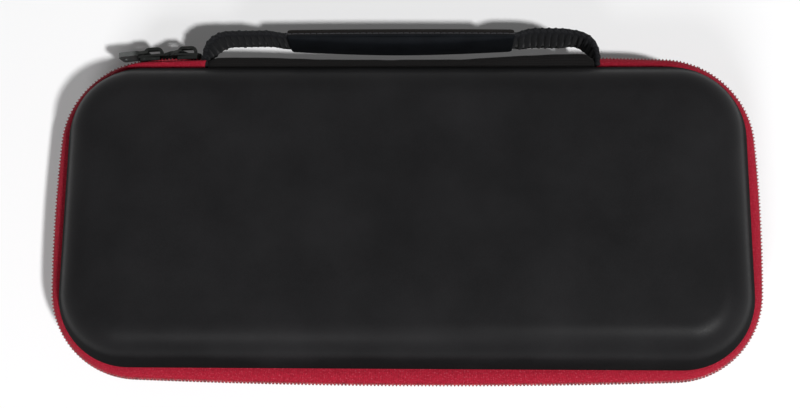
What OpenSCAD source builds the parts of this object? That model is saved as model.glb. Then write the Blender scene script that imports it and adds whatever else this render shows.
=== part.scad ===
// Hard case for a portable game console: two moulded shells, a zip with two sliders,
// a sewn hinge strip, a carry handle, and the straps, flap and pocket inside.
// The origin is the centre of the flat bottom. +Z is up and +Y points to the hinge and handle.

/* [Case] */
// Width over the zip ridge
case_w = 260; // [220:1:320]
// Depth over the zip ridge
case_d = 124; // [110:1:160]
// Height of the zip plane over the floor
base_h = 21; // [19:0.5:40]
// Height of the lid over the zip plane
lid_h = 21; // [19:0.5:40]
// Thickness of the moulded shell wall
wall = 3; // [2:0.1:4]
// Radius of the shell's corners, seen from above
shell_corner_r = 27; // [22:0.5:34]
// Radius of the shoulder between wall and flat face
shoulder_r = 13; // [9:0.5:14]
// Lean of the wall from upright, narrower towards the flat face
wall_draft = 22; // [0:1:24]
// Half height of the band of zip tape between the two rims
rim_gap = 3.6; // [3.4:0.1:5]

/* [Zip ridge] */
// How far the ridge stands out of the front and back walls
flare_front = 5.9; // [5.4:0.1:8]
// How far the ridge stands out of the side walls
flare_side = 4.6; // [4.2:0.1:7]
// Radius of the ridge's corners
ridge_corner_r = 33.5; // [32:0.5:36]
// Radius of the slight bow of the front and back ridge
front_bow_r = 2640; // [1800:20:5000]
// Radius of the slight bow of the side ridge
side_bow_r = 550; // [400:10:1500]
// Thickness of the zip tape and of the hinge strip
cloth_t = 0.7; // [0.4:0.05:0.8]
// Height of the sewn edge of the tape on the inner wall
sewn_edge = 4.2; // [3:0.1:6]
// Thickness of the binding that covers the sewn edge
binding_t = 1; // [0.6:0.1:1.6]
// Thickness of the zip coil, measured outwards
coil_t = 2; // [1.6:0.1:2.2]
// Width of one coil half, measured up or down from the zip plane
coil_w = 1.2; // [1:0.05:1.3]

/* [Sliders] */
// Length of a slider body
slider_len = 11.4; // [10:0.1:13]
// Height of the slider's outer plate
slider_w = 8; // [7.6:0.1:10]
// Height of the slider's inner plate
slider_inner_w = 5.2; // [5:0.1:5.4]
// Thickness of each slider plate
plate_t = 0.9; // [0.7:0.05:1.2]
// Free space between the slider and the zip
slider_play = 0.35; // [0.3:0.05:0.45]
// Gap between the two sliders
slider_apart = 1.5; // [1:0.1:8]
// Length of the bridge that carries the pull
bridge_len = 7.5; // [6.6:0.1:9]
// Height of the bridge over its plate
bridge_h = 3.7; // [3.5:0.1:5]
// Reach of a pull from its pin to its tip
pull_len = 11.4; // [9:0.1:16]
// Width of a pull
pull_w = 6.4; // [6:0.1:8]
// Thickness of a pull's tab
pull_t = 1.8; // [1.2:0.1:1.9]
// How far the pull next to the handle hangs down, in degrees
pull_a_tilt = 35; // [30:1:50]
// How far the other pull hangs down, in degrees
pull_b_tilt = 8; // [0:1:12]

/* [Hinge strip and handle] */
// Length of the hinge strip
spine_len = 145; // [120:1:150]
// Offset of hinge strip and handle to the side
spine_shift = -2; // [-6:0.5:6]
// How far the hinge strip stands out of the back walls
spine_out = 4.4; // [3.5:0.1:4.8]
// Width of the handle webbing
web_w = 14; // [11:0.5:14.5]
// Thickness of the handle webbing
web_t = 2; // [1.5:0.1:2.6]
// Distance of the handle webbing from the zip ridge, at the handle's ends
web_out = 5.5; // [5.2:0.1:10]
// How far the handle bows out in its middle
web_bow = 0.5; // [0:0.1:3]
// Radius of the webbing's bends at the handle's ends
web_bend_r = 6.5; // [4:0.1:8]
// Length of the padded grip
grip_len = 84; // [60:1:95]
// Offset of the grip along the handle
grip_shift = 1.5; // [-5:0.5:5]
// Height of the padded grip
grip_w = 16.4; // [16:0.1:18]
// Thickness of the cover around the webbing
grip_cover = 0.7; // [0.5:0.1:1.2]
// Thickness of the padding on the hand's side, in the grip's middle
grip_pad = 2; // [1:0.1:2.2]

/* [Console straps] */
// Width of an elastic strap
strap_w = 25; // [15:1:40]
// Thickness of an elastic strap
strap_t = 1.2; // [0.8:0.1:1.4]
// Distance of each strap from the middle of the case
strap_x = 62; // [40:1:80]
// Length over which the two halves of a strap lie on each other
strap_lap = 36; // [20:1:60]

/* [Card flap] */
// Thickness of the padded flap
flap_t = 3; // [2:0.1:3.4]
// Free space around the flap
flap_margin = 3.4; // [2:0.1:8]
// Number of card pockets in a row
card_columns = 5; // [3:1:5]
// Width of a card pocket
card_w = 38; // [28:1:40]
// Depth of a card pocket
card_d = 32; // [24:1:38]
// Thickness of a card pocket
card_t = 1.2; // [0.8:0.1:1.6]

/* [Lid pocket] */
// Height of the pocket's border over the zip plane
pocket_z = 10.4; // [9:0.1:10.8]
// Width of the pocket's border
border_w = 8; // [6:0.5:12]
// Thickness of the pocket's border
border_t = 1.2; // [1:0.1:1.5]
// Thickness of the pocket's net
net_t = 0.5; // [0.4:0.1:0.8]
// Length of the pocket's zip
pocket_zip_len = 196; // [120:1:210]
// Distance of the pocket's zip from the lid's front wall
pocket_zip_inset = 22; // [18:1:40]
// Length of the pocket's slider
pocket_slider_len = 9; // [8:0.1:11]

/* [Hidden] */
$fn = 72;

shell_black = [0.14, 0.14, 0.15];
zip_red = [0.74, 0.15, 0.22];
coil_red = [0.50, 0.09, 0.14];
cloth_black = [0.10, 0.10, 0.11];
metal_black = [0.20, 0.20, 0.21];
pull_grey = [0.42, 0.43, 0.44];
lining_grey = [0.30, 0.30, 0.32];
net_black = [0.07, 0.07, 0.08];

// Clearances
cloth_gap = 0.12;
seam_gap = 0.2;
coil_gap = 0.1;
rest_gap = 0.3;

// Shell outline at the rims
shell_x = case_w/2 - flare_side;
shell_y = case_d/2 - flare_front;

// Centre of the ridge's corner arc: it touches the back arc and the side arc from inside
back_c = [0, case_d/2 - front_bow_r];
side_c = [case_w/2 - side_bow_r, 0];
back_reach = front_bow_r - ridge_corner_r;
side_reach = side_bow_r - ridge_corner_r;
arc_gap = norm(side_c - back_c);
arc_foot = (back_reach^2 - side_reach^2 + arc_gap^2)/(2*arc_gap);
arc_rise = sqrt(back_reach^2 - arc_foot^2);
arc_dir = (side_c - back_c)/arc_gap;
corner_c = back_c + arc_foot*arc_dir + arc_rise*[-arc_dir.y, arc_dir.x]*-1;
// Where the corner arc meets the back arc and the side arc, as angles
back_end = atan2(corner_c.x, corner_c.y - back_c.y);
side_end = atan2(corner_c.y, corner_c.x - side_c.x);

// Depth of the inner wall behind the rim's outer edge, and how far the wall leans in at a level
wall_in = wall/cos(wall_draft);
function lean(z) = (z - rim_gap)*tan(wall_draft);

// Levels on the lid's side of the zip plane, and the sewn edge that lies along the inner wall
fold_z = rim_gap - cloth_gap - cloth_t/2;
sewn_top = rim_gap + sewn_edge;
function sewn(z) = [-(wall + cloth_gap + cloth_t/2)/cos(wall_draft) - lean(z), z];
binding_low = rim_gap - 1.2;
binding_top = sewn_top + 0.5;
binding_in = (wall + 2*cloth_gap + cloth_t)/cos(wall_draft);
binding_out = binding_in + binding_t/cos(wall_draft);

// Room inside the binding: at the mouth, and at a level further in
room_x = shell_x - binding_out;
room_y = shell_y - binding_out;
room_r = shell_corner_r - binding_out;
function room_at(z) = room_y - max(0, lean(z));

// Hinge strip, handle roots and zip ends, as places along X
spine_left = spine_shift - spine_len/2;
spine_right = spine_shift + spine_len/2;
web_left = spine_left - seam_gap - web_t/2;
web_right = spine_right + seam_gap + web_t/2;
zip_left = web_left - web_t/2 - seam_gap;
zip_right = web_right + web_t/2 + seam_gap;
left_angle = asin(-zip_left/front_bow_r);
right_angle = asin(zip_right/front_bow_r);

// Places of the sliders, measured along the ridge from the zip's left end
slider_a_run = slider_len/2 + rest_gap + seam_gap;
slider_b_run = slider_a_run + slider_len + slider_apart;
post_back = 2.2;
post_len = 2.4;
post_w = 1.9;
spread = post_w/2 + slider_play - coil_gap/2;
knee_z = slider_w/2 + rest_gap;
knee_fade = 6;
spread_fade = 5;
bridge_w = 1.8;
bridge_t = 1.15;
pin_r = 0.6;
pull_arm = 0.8;
pull_root = 3.1;
pin_y = slider_play + plate_t + (bridge_h - bridge_t)/2;

// Pocket zip
pocket_coil_t = 1.35;
pocket_coil_w = 1.55;
pocket_tape_t = 0.6;
pocket_tape_w = 9;
pocket_slot = 6.8;
pocket_play = 0.3;
pocket_slider_w = 7;
pocket_inner_w = 5.2;
pocket_plate_t = 0.9;
pocket_post_w = 1.4;
pocket_bridge_len = 6;
pocket_bridge_h = 2.6;
pocket_pull_len = 10;
pocket_pull_w = 4.8;
pocket_pull_t = 1.1;
pocket_pin_r = 0.5;
pocket_pull_root = 2.6;
net_z = pocket_z + border_t;
pocket_tape_z = net_z - pocket_tape_t;
pocket_coil_z = pocket_tape_z - rest_gap/6 - pocket_coil_t;
pocket_zip_y = -(shell_y - wall) + pocket_zip_inset;
pocket_slider_x = -pocket_zip_len/2 + pocket_slider_len/2 + 2;

// Straps and flap, below and above the zip plane
strap_low_z = -4.4;
strap_high_z = strap_low_z + strap_t + rest_gap/3;
strap_tail = 3.4;
flap_z = strap_high_z + strap_t + 0.7;
flap_tail_t = 1;
card_edge_x = 10;
card_edge_y = 11.4;

function smooth_step(v) = let(c = min(1, max(0, v))) c*c*(3 - 2*c);

function unit(v) = v/norm(v);

// A place on the ridge, for a normal that points to angle a, counted from +X
function ridge(a) =
    let(q = atan2(abs(sin(a)), abs(cos(a))),
        p = q < side_end ? side_c + side_bow_r*[cos(q), sin(q)]
            : q < 90 - back_end ? corner_c + ridge_corner_r*[cos(q), sin(q)]
            : back_c + front_bow_r*[cos(q), sin(q)])
    [p.x*(cos(a) < 0 ? -1 : 1), p.y*(sin(a) < 0 ? -1 : 1)];

// Angle of the rim's normal that goes with the ridge's normal a, in the first quarter
function rim_angle(q) =
    q < side_end ? 0 : q < 90 - back_end ? 90*(q - side_end)/(90 - back_end - side_end) : 90;

// The matching place on the shell's outer wall, pushed inwards by depth
function rim(a, depth = 0) =
    let(q = atan2(abs(sin(a)), abs(cos(a))),
        w = rim_angle(q),
        r = shell_corner_r - depth,
        side_y = (shell_y - shell_corner_r)*ridge(q).y/ridge(side_end).y,
        back_x = (shell_x - shell_corner_r)*ridge(q).x/ridge(90 - back_end).x,
        p = q < side_end ? [shell_x - depth, side_y]
            : q < 90 - back_end ? [shell_x - shell_corner_r, shell_y - shell_corner_r] + r*[cos(w), sin(w)]
            : [back_x, shell_y - depth])
    [p.x*(cos(a) < 0 ? -1 : 1), p.y*(sin(a) < 0 ? -1 : 1)];

function flare(a) = norm(ridge(a) - rim(a));

// A point at distance s outside the shell's wall and at height z, in the section at angle a
function at_section(a, s, z) =
    let(p = s < 0 ? rim(a, -s) : rim(a) + s*unit(ridge(a) - rim(a)))
    [p.x, p.y, z];

// Length of the ridge from the zip's left end to the section at angle a
function run_at(a) =
    let(b = a - 90)
    b < back_end ? front_bow_r*(b - left_angle)*PI/180
        : front_bow_r*(back_end - left_angle)*PI/180 + ridge_corner_r*(b - back_end)*PI/180;

// The section at a given length from the zip's left end
function angle_at(run) =
    let(straight = front_bow_r*(back_end - left_angle)*PI/180)
    run < straight ? 90 + left_angle + run/front_bow_r*180/PI
        : 90 + back_end + (run - straight)/ridge_corner_r*180/PI;

// The tape lies flat beside the sliders, and the coil halves part around their posts
function knee_at(run) =
    1 - smooth_step((run - slider_b_run - slider_len/2 - 1)/knee_fade);
function spread_at(run) =
    let(from = slider_a_run + slider_len/2 - post_back - post_len/2,
        to = slider_b_run - slider_len/2 + post_back + post_len/2)
    spread*smooth_step((run - from + spread_fade)/(spread_fade - post_len/2))
        *(1 - smooth_step((run - to - post_len/2)/(spread_fade - post_len/2)));

function steps(from, to, count) = [for (i = [0:count - 1]) from + (to - from)*i/count];

zip_stations = concat(
    steps(90 + left_angle, 90 + back_end, 10),
    steps(90 + back_end, 180 - side_end, 26),
    steps(180 - side_end, 180 + side_end, 6),
    steps(180 + side_end, 270 - back_end, 14),
    steps(270 - back_end, 270 + back_end, 12),
    steps(270 + back_end, 360 - side_end, 14),
    steps(360 - side_end, 360 + side_end, 6),
    steps(360 + side_end, 450 - back_end, 14),
    steps(450 - back_end, 450 - right_angle, 2),
    [450 - right_angle]);

// Both sides of a line of points that is given a thickness
function left_of(v) = [-v.y, v.x];
function side_point(line, i, d) =
    let(last = len(line) - 1,
        before = left_of(unit(line[max(i, 1)] - line[max(i, 1) - 1])),
        after = left_of(unit(line[min(i, last - 1) + 1] - line[min(i, last - 1)])))
    line[i] + d*(before + after)/(1 + before*after);
function thick_line(line, t) = concat(
    [for (i = [0:len(line) - 1]) side_point(line, i, t/2)],
    [for (i = [len(line) - 1:-1:0]) side_point(line, i, -t/2)]);

// A closed solid through rings that have the same number of points
module loft(rings) {
    n = len(rings[0]);
    last = len(rings) - 1;
    polyhedron(
        points = [for (ring = rings) each ring],
        faces = concat(
            [[for (j = [0:n - 1]) j]],
            [for (i = [0:last - 1]) for (j = [0:n - 1])
                [i*n + j, (i + 1)*n + j, (i + 1)*n + (j + 1)%n, i*n + (j + 1)%n]],
            [[for (j = [n - 1:-1:0]) last*n + j]]),
        convexity = 10);
}

// Middle line of the tape's section, from the coil over the rim to the sewn edge
function tape_line(a) =
    let(f = flare(a),
        k = knee_at(run_at(a)),
        edge = [f - coil_t - cloth_t/2, 0.5 + spread_at(run_at(a))],
        rim_out = [cloth_gap + 0.15, fold_z],
        middle = (edge + rim_out)/2 + [0.3, 0.3],
        knee = [edge.x, knee_z])
    [edge, middle + k*(knee - middle), rim_out, sewn(fold_z), sewn(sewn_top)];

module zip_tape() {
    loft([for (a = zip_stations)
        [for (p = thick_line(tape_line(a), cloth_t)) at_section(a, p.x, p.y)]]);
}

module zip_coil() {
    loft([for (a = zip_stations)
        let(s = flare(a) - coil_t/2, z = coil_gap/2 + coil_w/2 + spread_at(run_at(a)))
        [for (j = [0:7]) at_section(a, s + (coil_t/2 - 0.03)*cos(45*j), z + coil_w/2*sin(45*j))]]);
}

// Section of a leaning wall: flat face at z = 0, rim at the full height, rounded between them
module edge_profile(reach, height, edge_r) {
    arc_x = reach - (edge_r + (height - edge_r)*sin(wall_draft))/cos(wall_draft);
    intersection() {
        square([reach, height]);
        union() {
            polygon([[0, 0], [arc_x, 0], [arc_x + edge_r*cos(wall_draft), edge_r*(1 - sin(wall_draft))],
                [reach, height], [0, height]]);
            translate([arc_x, edge_r]) circle(r = edge_r);
        }
    }
}

// Block between two levels with the same section along all four sides and round the corners
module framed_block(half_x, half_y, corner_r, low, top) {
    cx = half_x - corner_r;
    cy = half_y - corner_r;
    translate([-cx, -cy, low]) cube([2*cx, 2*cy, top - low]);
    for (turn = [0, 180]) {
        rotate([0, 0, turn]) translate([cx, 0, 0]) rotate([90, 0, 0])
            linear_extrude(height = 2*cy, center = true) children();
        rotate([0, 0, turn + 90]) translate([cy, 0, 0]) rotate([90, 0, 0])
            linear_extrude(height = 2*cx, center = true) children();
    }
    for (sx = [-1, 1]) for (sy = [-1, 1])
        translate([sx*cx, sy*cy, 0]) rotate([0, 0, atan2(sy, sx) - 45])
            rotate_extrude(angle = 90) children();
}

module moulded_block(half_x, half_y, corner_r, edge_r, height) {
    framed_block(half_x, half_y, corner_r, 0, height) edge_profile(corner_r, height, edge_r);
}

// Shell that stands on its flat face, with its rim at the top
module shell(height) {
    rim_z = height - rim_gap;
    inset = wall_in - wall*tan(wall_draft);
    inner_r = shell_corner_r - inset;
    difference() {
        moulded_block(shell_x, shell_y, shell_corner_r, shoulder_r, rim_z);
        translate([0, 0, wall])
            moulded_block(shell_x - inset, shell_y - inset, inner_r, shoulder_r - wall, rim_z);
    }
}

module round_rect(w, d, r) {
    square([w - 2*r, d], center = true);
    square([w, d - 2*r], center = true);
    for (sx = [-1, 1]) for (sy = [-1, 1])
        translate([sx*(w/2 - r), sy*(d/2 - r)]) circle(r = r);
}

module round_plate(w, d, r, t) {
    linear_extrude(height = t) round_rect(w, d, r);
}

// Ring that follows the inner wall
module wall_ring(depth, width, height) {
    difference() {
        round_plate(2*(shell_x - depth), 2*(shell_y - depth), shell_corner_r - depth, height);
        translate([0, 0, -1])
            round_plate(2*(shell_x - depth - width), 2*(shell_y - depth - width),
                shell_corner_r - depth - width, height + 2);
    }
}

// Block whose sides lean with the wall, at the given depth behind the rim's outer edge
module leaning_block(depth, low, top) {
    reach = shell_corner_r - depth;
    framed_block(shell_x, shell_y, shell_corner_r, low, top)
        polygon([[0, low], [reach - lean(low), low], [reach - lean(top), top], [0, top]]);
}

module binding() {
    difference() {
        leaning_block(binding_in, binding_low, binding_top);
        leaning_block(binding_out, binding_low - 1, binding_top + 1);
    }
}

// Places what is drawn on the lid's side of the zip plane
module on_lid() {
    translate([0, 0, base_h]) children();
}
module on_base() {
    translate([0, 0, base_h]) mirror([0, 0, 1]) children();
}

module base_shell() {
    color(shell_black) shell(base_h);
}

module lid_shell() {
    color(shell_black) translate([0, 0, base_h + lid_h]) mirror([0, 0, 1]) shell(lid_h);
}

module base_zip_tape() {
    color(zip_red) on_base() zip_tape();
}

module lid_zip_tape() {
    color(zip_red) on_lid() zip_tape();
}

module base_zip_coil() {
    color(coil_red) on_base() zip_coil();
}

module lid_zip_coil() {
    color(coil_red) on_lid() zip_coil();
}

module base_binding() {
    color(cloth_black) on_base() binding();
}

module lid_binding() {
    color(cloth_black) on_lid() binding();
}

// Hinge strip: one cloth from the base's sewn edge over both rims to the lid's
spine_half = [[spine_out - 1.7, 2.5], [spine_out - 0.7, 1.5], [spine_out - cloth_t/2, 0]];
spine_line = concat(
    [sewn(sewn_top), sewn(fold_z), [cloth_gap + 0.15, fold_z]],
    spine_half,
    [for (i = [1, 0]) [spine_half[i].x, -spine_half[i].y]],
    [for (p = [[cloth_gap + 0.15, fold_z], sewn(fold_z), sewn(sewn_top)]) [p.x, -p.y]]);

module spine() {
    color(cloth_black) translate([0, shell_y, base_h]) rotate([90, 0, 90])
        translate([0, 0, spine_left]) linear_extrude(height = spine_len)
            polygon(thick_line(spine_line, cloth_t));
}

// Handle webbing: it leaves the seam at each end of the hinge strip, bends and runs along the back
web_y = case_d/2 + web_out;
web_root_y = shell_y + 1.5;
web_root_w = 7;
web_taper_y = case_d/2 + 3.2;
web_mid = (web_left + web_right)/2;
web_reach = (web_right - web_left)/2 - web_bend_r;
bend_steps = 5;
run_steps = 18;

// Outward place of the webbing's middle line along its run, for x counted from its middle
function web_line_y(x) = web_y + web_bow*(1 - (x/web_reach)^2);

// Left half of the middle line, as [x from the middle, y, heading]
web_half = concat(
    [[-web_reach - web_bend_r, web_root_y, 90], [-web_reach - web_bend_r, web_y - web_bend_r, 90]],
    [for (i = [1:bend_steps]) let(a = 180 - 90*i/bend_steps)
        [-web_reach + web_bend_r*cos(a), web_y - web_bend_r + web_bend_r*sin(a), a - 90]],
    [for (i = [1:run_steps]) let(x = -web_reach*(1 - i/run_steps))
        [x, web_line_y(x), atan2(-2*web_bow*x/web_reach^2, 1)]]);
web_stations = concat(web_half,
    [for (i = [len(web_half) - 2:-1:0]) [-web_half[i].x, web_half[i].y, -web_half[i].z]]);

// The webbing narrows towards its sewn roots; extra makes it fatter on all sides
module web_solid(extra = 0) {
    loft([for (p = web_stations)
        let(n = [-sin(p.z), cos(p.z)]*(web_t/2 + extra),
            c = [web_mid + p.x, p.y],
            k = min(1, (p.y - web_root_y)/(web_taper_y - web_root_y)),
            h = (web_root_w + (web_w - web_root_w)*k)/2 + extra)
        [[c.x + n.x, c.y + n.y, -h], [c.x + n.x, c.y + n.y, h],
         [c.x - n.x, c.y - n.y, h], [c.x - n.x, c.y - n.y, -h]]]);
}

module handle_webbing() {
    color(cloth_black) translate([0, 0, base_h]) web_solid();
}

// Padded grip: a sewn sleeve around the webbing, thickest in its middle, with rounded ends
grip_end_r = 3;
grip_edge_r = 1.8;
grip_stations = concat(
    [for (a = [90, 60, 30]) -1 + grip_end_r*(1 - sin(a))*2/grip_len],
    [for (i = [0:12]) (-1 + 2*grip_end_r/grip_len)*(1 - i/6)],
    [for (a = [30, 60, 90]) 1 - grip_end_r*(1 - sin(a))*2/grip_len]);

function grip_ring(u) =
    let(x = grip_shift + u*grip_len/2,
        near_end = max(0, abs(u)*grip_len/2 - grip_len/2 + grip_end_r),
        h = grip_w/2 - grip_end_r + sqrt(grip_end_r^2 - near_end^2),
        middle = web_line_y(x),
        cover = web_t/2 + seam_gap + grip_cover,
        out = middle + cover,
        in = middle - cover - grip_pad*(1 - u^2)^1.2,
        r = min(grip_edge_r, (out - in)/2 - 0.05))
    [for (corner = [0:3]) for (i = [0:3])
        let(a = 90*corner + 30*i,
            cy = corner == 0 || corner == 3 ? out - r : in + r,
            cz = corner < 2 ? h - r : r - h)
        [web_mid + x, cy + r*cos(a), cz + r*sin(a)]];

module handle_grip() {
    color(cloth_black) translate([0, 0, base_h]) difference() {
        loft([for (u = grip_stations) grip_ring(u)]);
        web_solid(seam_gap);
    }
}

// Slider along X with its nose at +X, its outer face towards +Y; y = 0 is the coil's outer side
module slider_plate(length, width, t) {
    nose = width/2;
    tail = width/2*0.82;
    cut = 1.1;
    rotate([90, 0, 0]) linear_extrude(height = t) polygon([
        [-length/2, -tail + cut], [-length/2 + cut, -tail], [length/2 - 3, -nose], [length/2 - cut, -nose],
        [length/2, -nose + cut], [length/2, nose - cut], [length/2 - cut, nose], [length/2 - 3, nose],
        [-length/2 + cut, tail], [-length/2, tail - cut]]);
}

module slider_bridge(length, height, width) {
    linear_extrude(height = width, center = true) intersection() {
        difference() {
            round_rect(length, 2*height, 2.2);
            round_rect(length - 2*bridge_t, 2*(height - bridge_t), 1);
        }
        translate([-length, -0.1]) square([2*length, 2*height]);
    }
}

module slider_body(length, outer_w, inner_w, coil, cloth, play, plate, post, bridge_l, bridge_up) {
    flange_t = 0.7;
    flange_low = -coil/2;
    channel = coil + cloth + play;
    translate([0, play + plate, 0]) slider_plate(length, outer_w, plate);
    translate([0, -channel, 0]) slider_plate(length - 0.6, inner_w, plate);
    for (side = [-1, 1])
        translate([-length/2 + 1.4, flange_low, side < 0 ? -outer_w/2*0.86 : outer_w/2*0.86 - flange_t])
            cube([length - 4, play + 0.2 - flange_low, flange_t]);
    translate([length/2 - post_back, play + 0.1, 0]) rotate([90, 0, 0])
        linear_extrude(height = play + channel + 0.2) polygon([
            [-post_len/2, 0], [-0.2, -post/2], [post_len/2, -post/3], [post_len/2, post/3], [-0.2, post/2]]);
    translate([0, play + plate, 0]) slider_bridge(bridge_l, bridge_up, bridge_w);
}

// Pull with its pin along Z at the origin and its tab towards +X
module pull_tab(length, width, t, pin, root, arm) {
    inner = width/2 - arm;
    cylinder(r = pin, h = width - 0.2, center = true);
    for (side = [-1, 1])
        translate([0, -pin, side < 0 ? -width/2 : inner]) cube([root + 1, 2*pin, arm]);
    translate([0, t/2, 0]) rotate([90, 0, 0]) linear_extrude(height = t) difference() {
        translate([(root + length)/2, 0]) round_rect(length - root, width, 1.2);
        translate([length - 2.2, 0]) circle(r = 0.9);
    }
}

// Stands a slider or pull on the ridge, its X along the run of the zip; where the ridge is curved,
// the straight slider lies along the chord, half of the curve's rise outside it
function seat(run) =
    let(p = ridge(angle_at(run - slider_len/2)),
        q = ridge(angle_at(run + slider_len/2)),
        out = left_of(unit(p - q)),
        rise = (ridge(angle_at(run)) - (p + q)/2)*out,
        c = (p + q)/2 + rise/2*out)
    [c.x, c.y, atan2(out.y, out.x)];

module on_ridge(run) {
    place = seat(run);
    translate([place.x, place.y, base_h]) rotate([0, 0, place.z - 90]) mirror([1, 0, 0]) children();
}

// The tilted pin stays in the arch: its place along the slider
function pin_x(tilt) = bridge_len/2 - bridge_t - pin_r/cos(tilt) - bridge_w/2*tan(tilt) - rest_gap/2;

module zip_slider() {
    slider_body(slider_len, slider_w, slider_inner_w, coil_t, cloth_t, slider_play, plate_t, post_w,
        bridge_len, bridge_h);
}

module zip_pull(tilt) {
    translate([pin_x(tilt), pin_y, 0]) rotate([0, tilt, 0])
        pull_tab(pull_len, pull_w, pull_t, pin_r, pull_root, pull_arm);
}

module slider_a() {
    color(metal_black) on_ridge(slider_a_run) zip_slider();
}

module slider_b() {
    color(metal_black) on_ridge(slider_b_run) mirror([1, 0, 0]) zip_slider();
}

module pull_a() {
    color(pull_grey) on_ridge(slider_a_run) zip_pull(pull_a_tilt);
}

module pull_b() {
    color(pull_grey) on_ridge(slider_b_run) zip_pull(pull_b_tilt);
}

// Half of an elastic strap: it crosses the case from one long wall and its tail is sewn to it
module strap_half(x, wall_side, z, reach) {
    gap = rest_gap + strap_t/2 + (wall_side > 0 ? flap_tail_t + rest_gap : 0);
    level = z + strap_t/2;
    end = z - strap_tail;
    color(lining_grey) translate([x - strap_w/2, 0, base_h]) mirror([0, wall_side > 0 ? 0 : 1, 0])
        rotate([90, 0, 90]) linear_extrude(height = strap_w)
            polygon(thick_line([[-reach, level], [room_at(-level) - gap, level], [room_at(-end) - gap, end]],
                strap_t));
}

module strap_left_front() {
    strap_half(-strap_x, -1, strap_low_z, strap_lap/2);
}

module strap_left_back() {
    strap_half(-strap_x, 1, strap_high_z, strap_lap/2);
}

module strap_right_front() {
    strap_half(strap_x, -1, strap_low_z, strap_lap/2);
}

module strap_right_back() {
    strap_half(strap_x, 1, strap_high_z, strap_lap/2);
}

// Padded flap over the console, sewn to the back wall by its tail
flap_x = room_x - flap_margin;
flap_y = room_y - flap_margin;
flap_mid = flap_z + flap_t/4;
flap_tail_gap = rest_gap + flap_tail_t/2;
flap_tail_line = [[0, flap_mid], [room_at(rim_gap) - flap_tail_gap, flap_mid],
    [room_at(rim_gap) - flap_tail_gap, -rim_gap], [room_at(sewn_top) - flap_tail_gap, -sewn_top]];
flap_tail_w = 2*(flap_x - room_r);
card_pitch_x = (2*flap_x - card_w - 2*card_edge_x)/(card_columns - 1);
card_pitch_y = 2*flap_y - card_d - 2*card_edge_y;

module card_flap() {
    color(lining_grey) translate([0, 0, base_h]) {
        translate([0, 0, flap_z]) round_plate(2*flap_x, 2*flap_y, room_r - flap_margin, flap_t);
        rotate([90, 0, 90]) linear_extrude(height = flap_tail_w, center = true)
            polygon(thick_line(flap_tail_line, flap_tail_t));
    }
}

module card_pockets() {
    color(cloth_black) translate([0, 0, base_h + flap_z + flap_t])
        for (i = [0:card_columns - 1]) for (j = [0, 1])
            translate([(i - (card_columns - 1)/2)*card_pitch_x, (j - 0.5)*card_pitch_y, 0])
                round_plate(card_w, card_d, 2, card_t);
}

// Pocket inside the lid
pocket_depth = wall_in + lean(pocket_z + border_t) + 2*rest_gap;

module pocket_border() {
    color(cloth_black) translate([0, 0, base_h + pocket_z]) difference() {
        wall_ring(pocket_depth, border_w, border_t);
        translate([0, pocket_zip_y, -1])   // leaves room for the slider where the zip reaches the border
            round_plate(pocket_zip_len + 2*pocket_play, pocket_slider_w + 2*pocket_play, 1, border_t + 2);
    }
}

module pocket_net() {
    edge = pocket_depth + 3;
    color(net_black) translate([0, 0, base_h + net_z]) difference() {
        round_plate(2*(shell_x - edge), 2*(shell_y - edge), shell_corner_r - edge, net_t);
        translate([0, pocket_zip_y, -1])
            round_plate(pocket_zip_len, pocket_slot, pocket_slot/2 - 0.1, net_t + 2);
    }
}

module pocket_zip_tape() {
    length = pocket_zip_len + 8;
    color(cloth_black) translate([0, pocket_zip_y, base_h + pocket_tape_z])
        for (side = [-1, 1])
            translate([-length/2, side < 0 ? -pocket_tape_w : 1, 0])
                cube([length, pocket_tape_w - 1, pocket_tape_t]);
}

module pocket_zip_coil() {
    from = pocket_slider_x - pocket_slider_len/2 + post_back + post_len/2 + rest_gap;
    color(cloth_black) translate([from, pocket_zip_y, base_h + pocket_coil_z])
        for (side = [-1, 1])
            translate([0, side < 0 ? -pocket_coil_w : coil_gap/2, 0])
                cube([pocket_zip_len/2 - from, pocket_coil_w - coil_gap/2, pocket_coil_t]);
}

module on_pocket_zip() {
    translate([pocket_slider_x, pocket_zip_y, base_h + pocket_coil_z]) rotate([-90, 0, 0])
        mirror([1, 0, 0]) children();
}

module pocket_slider() {
    color(metal_black) on_pocket_zip()
        slider_body(pocket_slider_len, pocket_slider_w, pocket_inner_w, pocket_coil_t, pocket_tape_t,
            pocket_play, pocket_plate_t, pocket_post_w, pocket_bridge_len, pocket_bridge_h);
}

module pocket_pull() {
    color(pull_grey) on_pocket_zip()
        translate([-(pocket_bridge_len/2 - bridge_t - pocket_pin_r - 0.25),
            pocket_play + pocket_plate_t + (pocket_bridge_h - bridge_t)/2, 0]) mirror([1, 0, 0])
            pull_tab(pocket_pull_len, pocket_pull_w, pocket_pull_t, pocket_pin_r, pocket_pull_root, 0.7);
}

base_shell();
lid_shell();
base_zip_tape();
lid_zip_tape();
base_zip_coil();
lid_zip_coil();
base_binding();
lid_binding();
spine();
handle_webbing();
handle_grip();
slider_a();
slider_b();
pull_a();
pull_b();
strap_left_front();
strap_left_back();
strap_right_front();
strap_right_back();
card_flap();
card_pockets();
pocket_border();
pocket_net();
pocket_zip_tape();
pocket_zip_coil();
pocket_slider();
pocket_pull();
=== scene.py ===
# Zipped hard case for a handheld console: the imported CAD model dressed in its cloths, skins and metal.
from math import atan2, ceil, cos, degrees, hypot, pi, radians, sin, sqrt, tan
import bmesh
import bpy
from mathutils import Matrix, Vector


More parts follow.
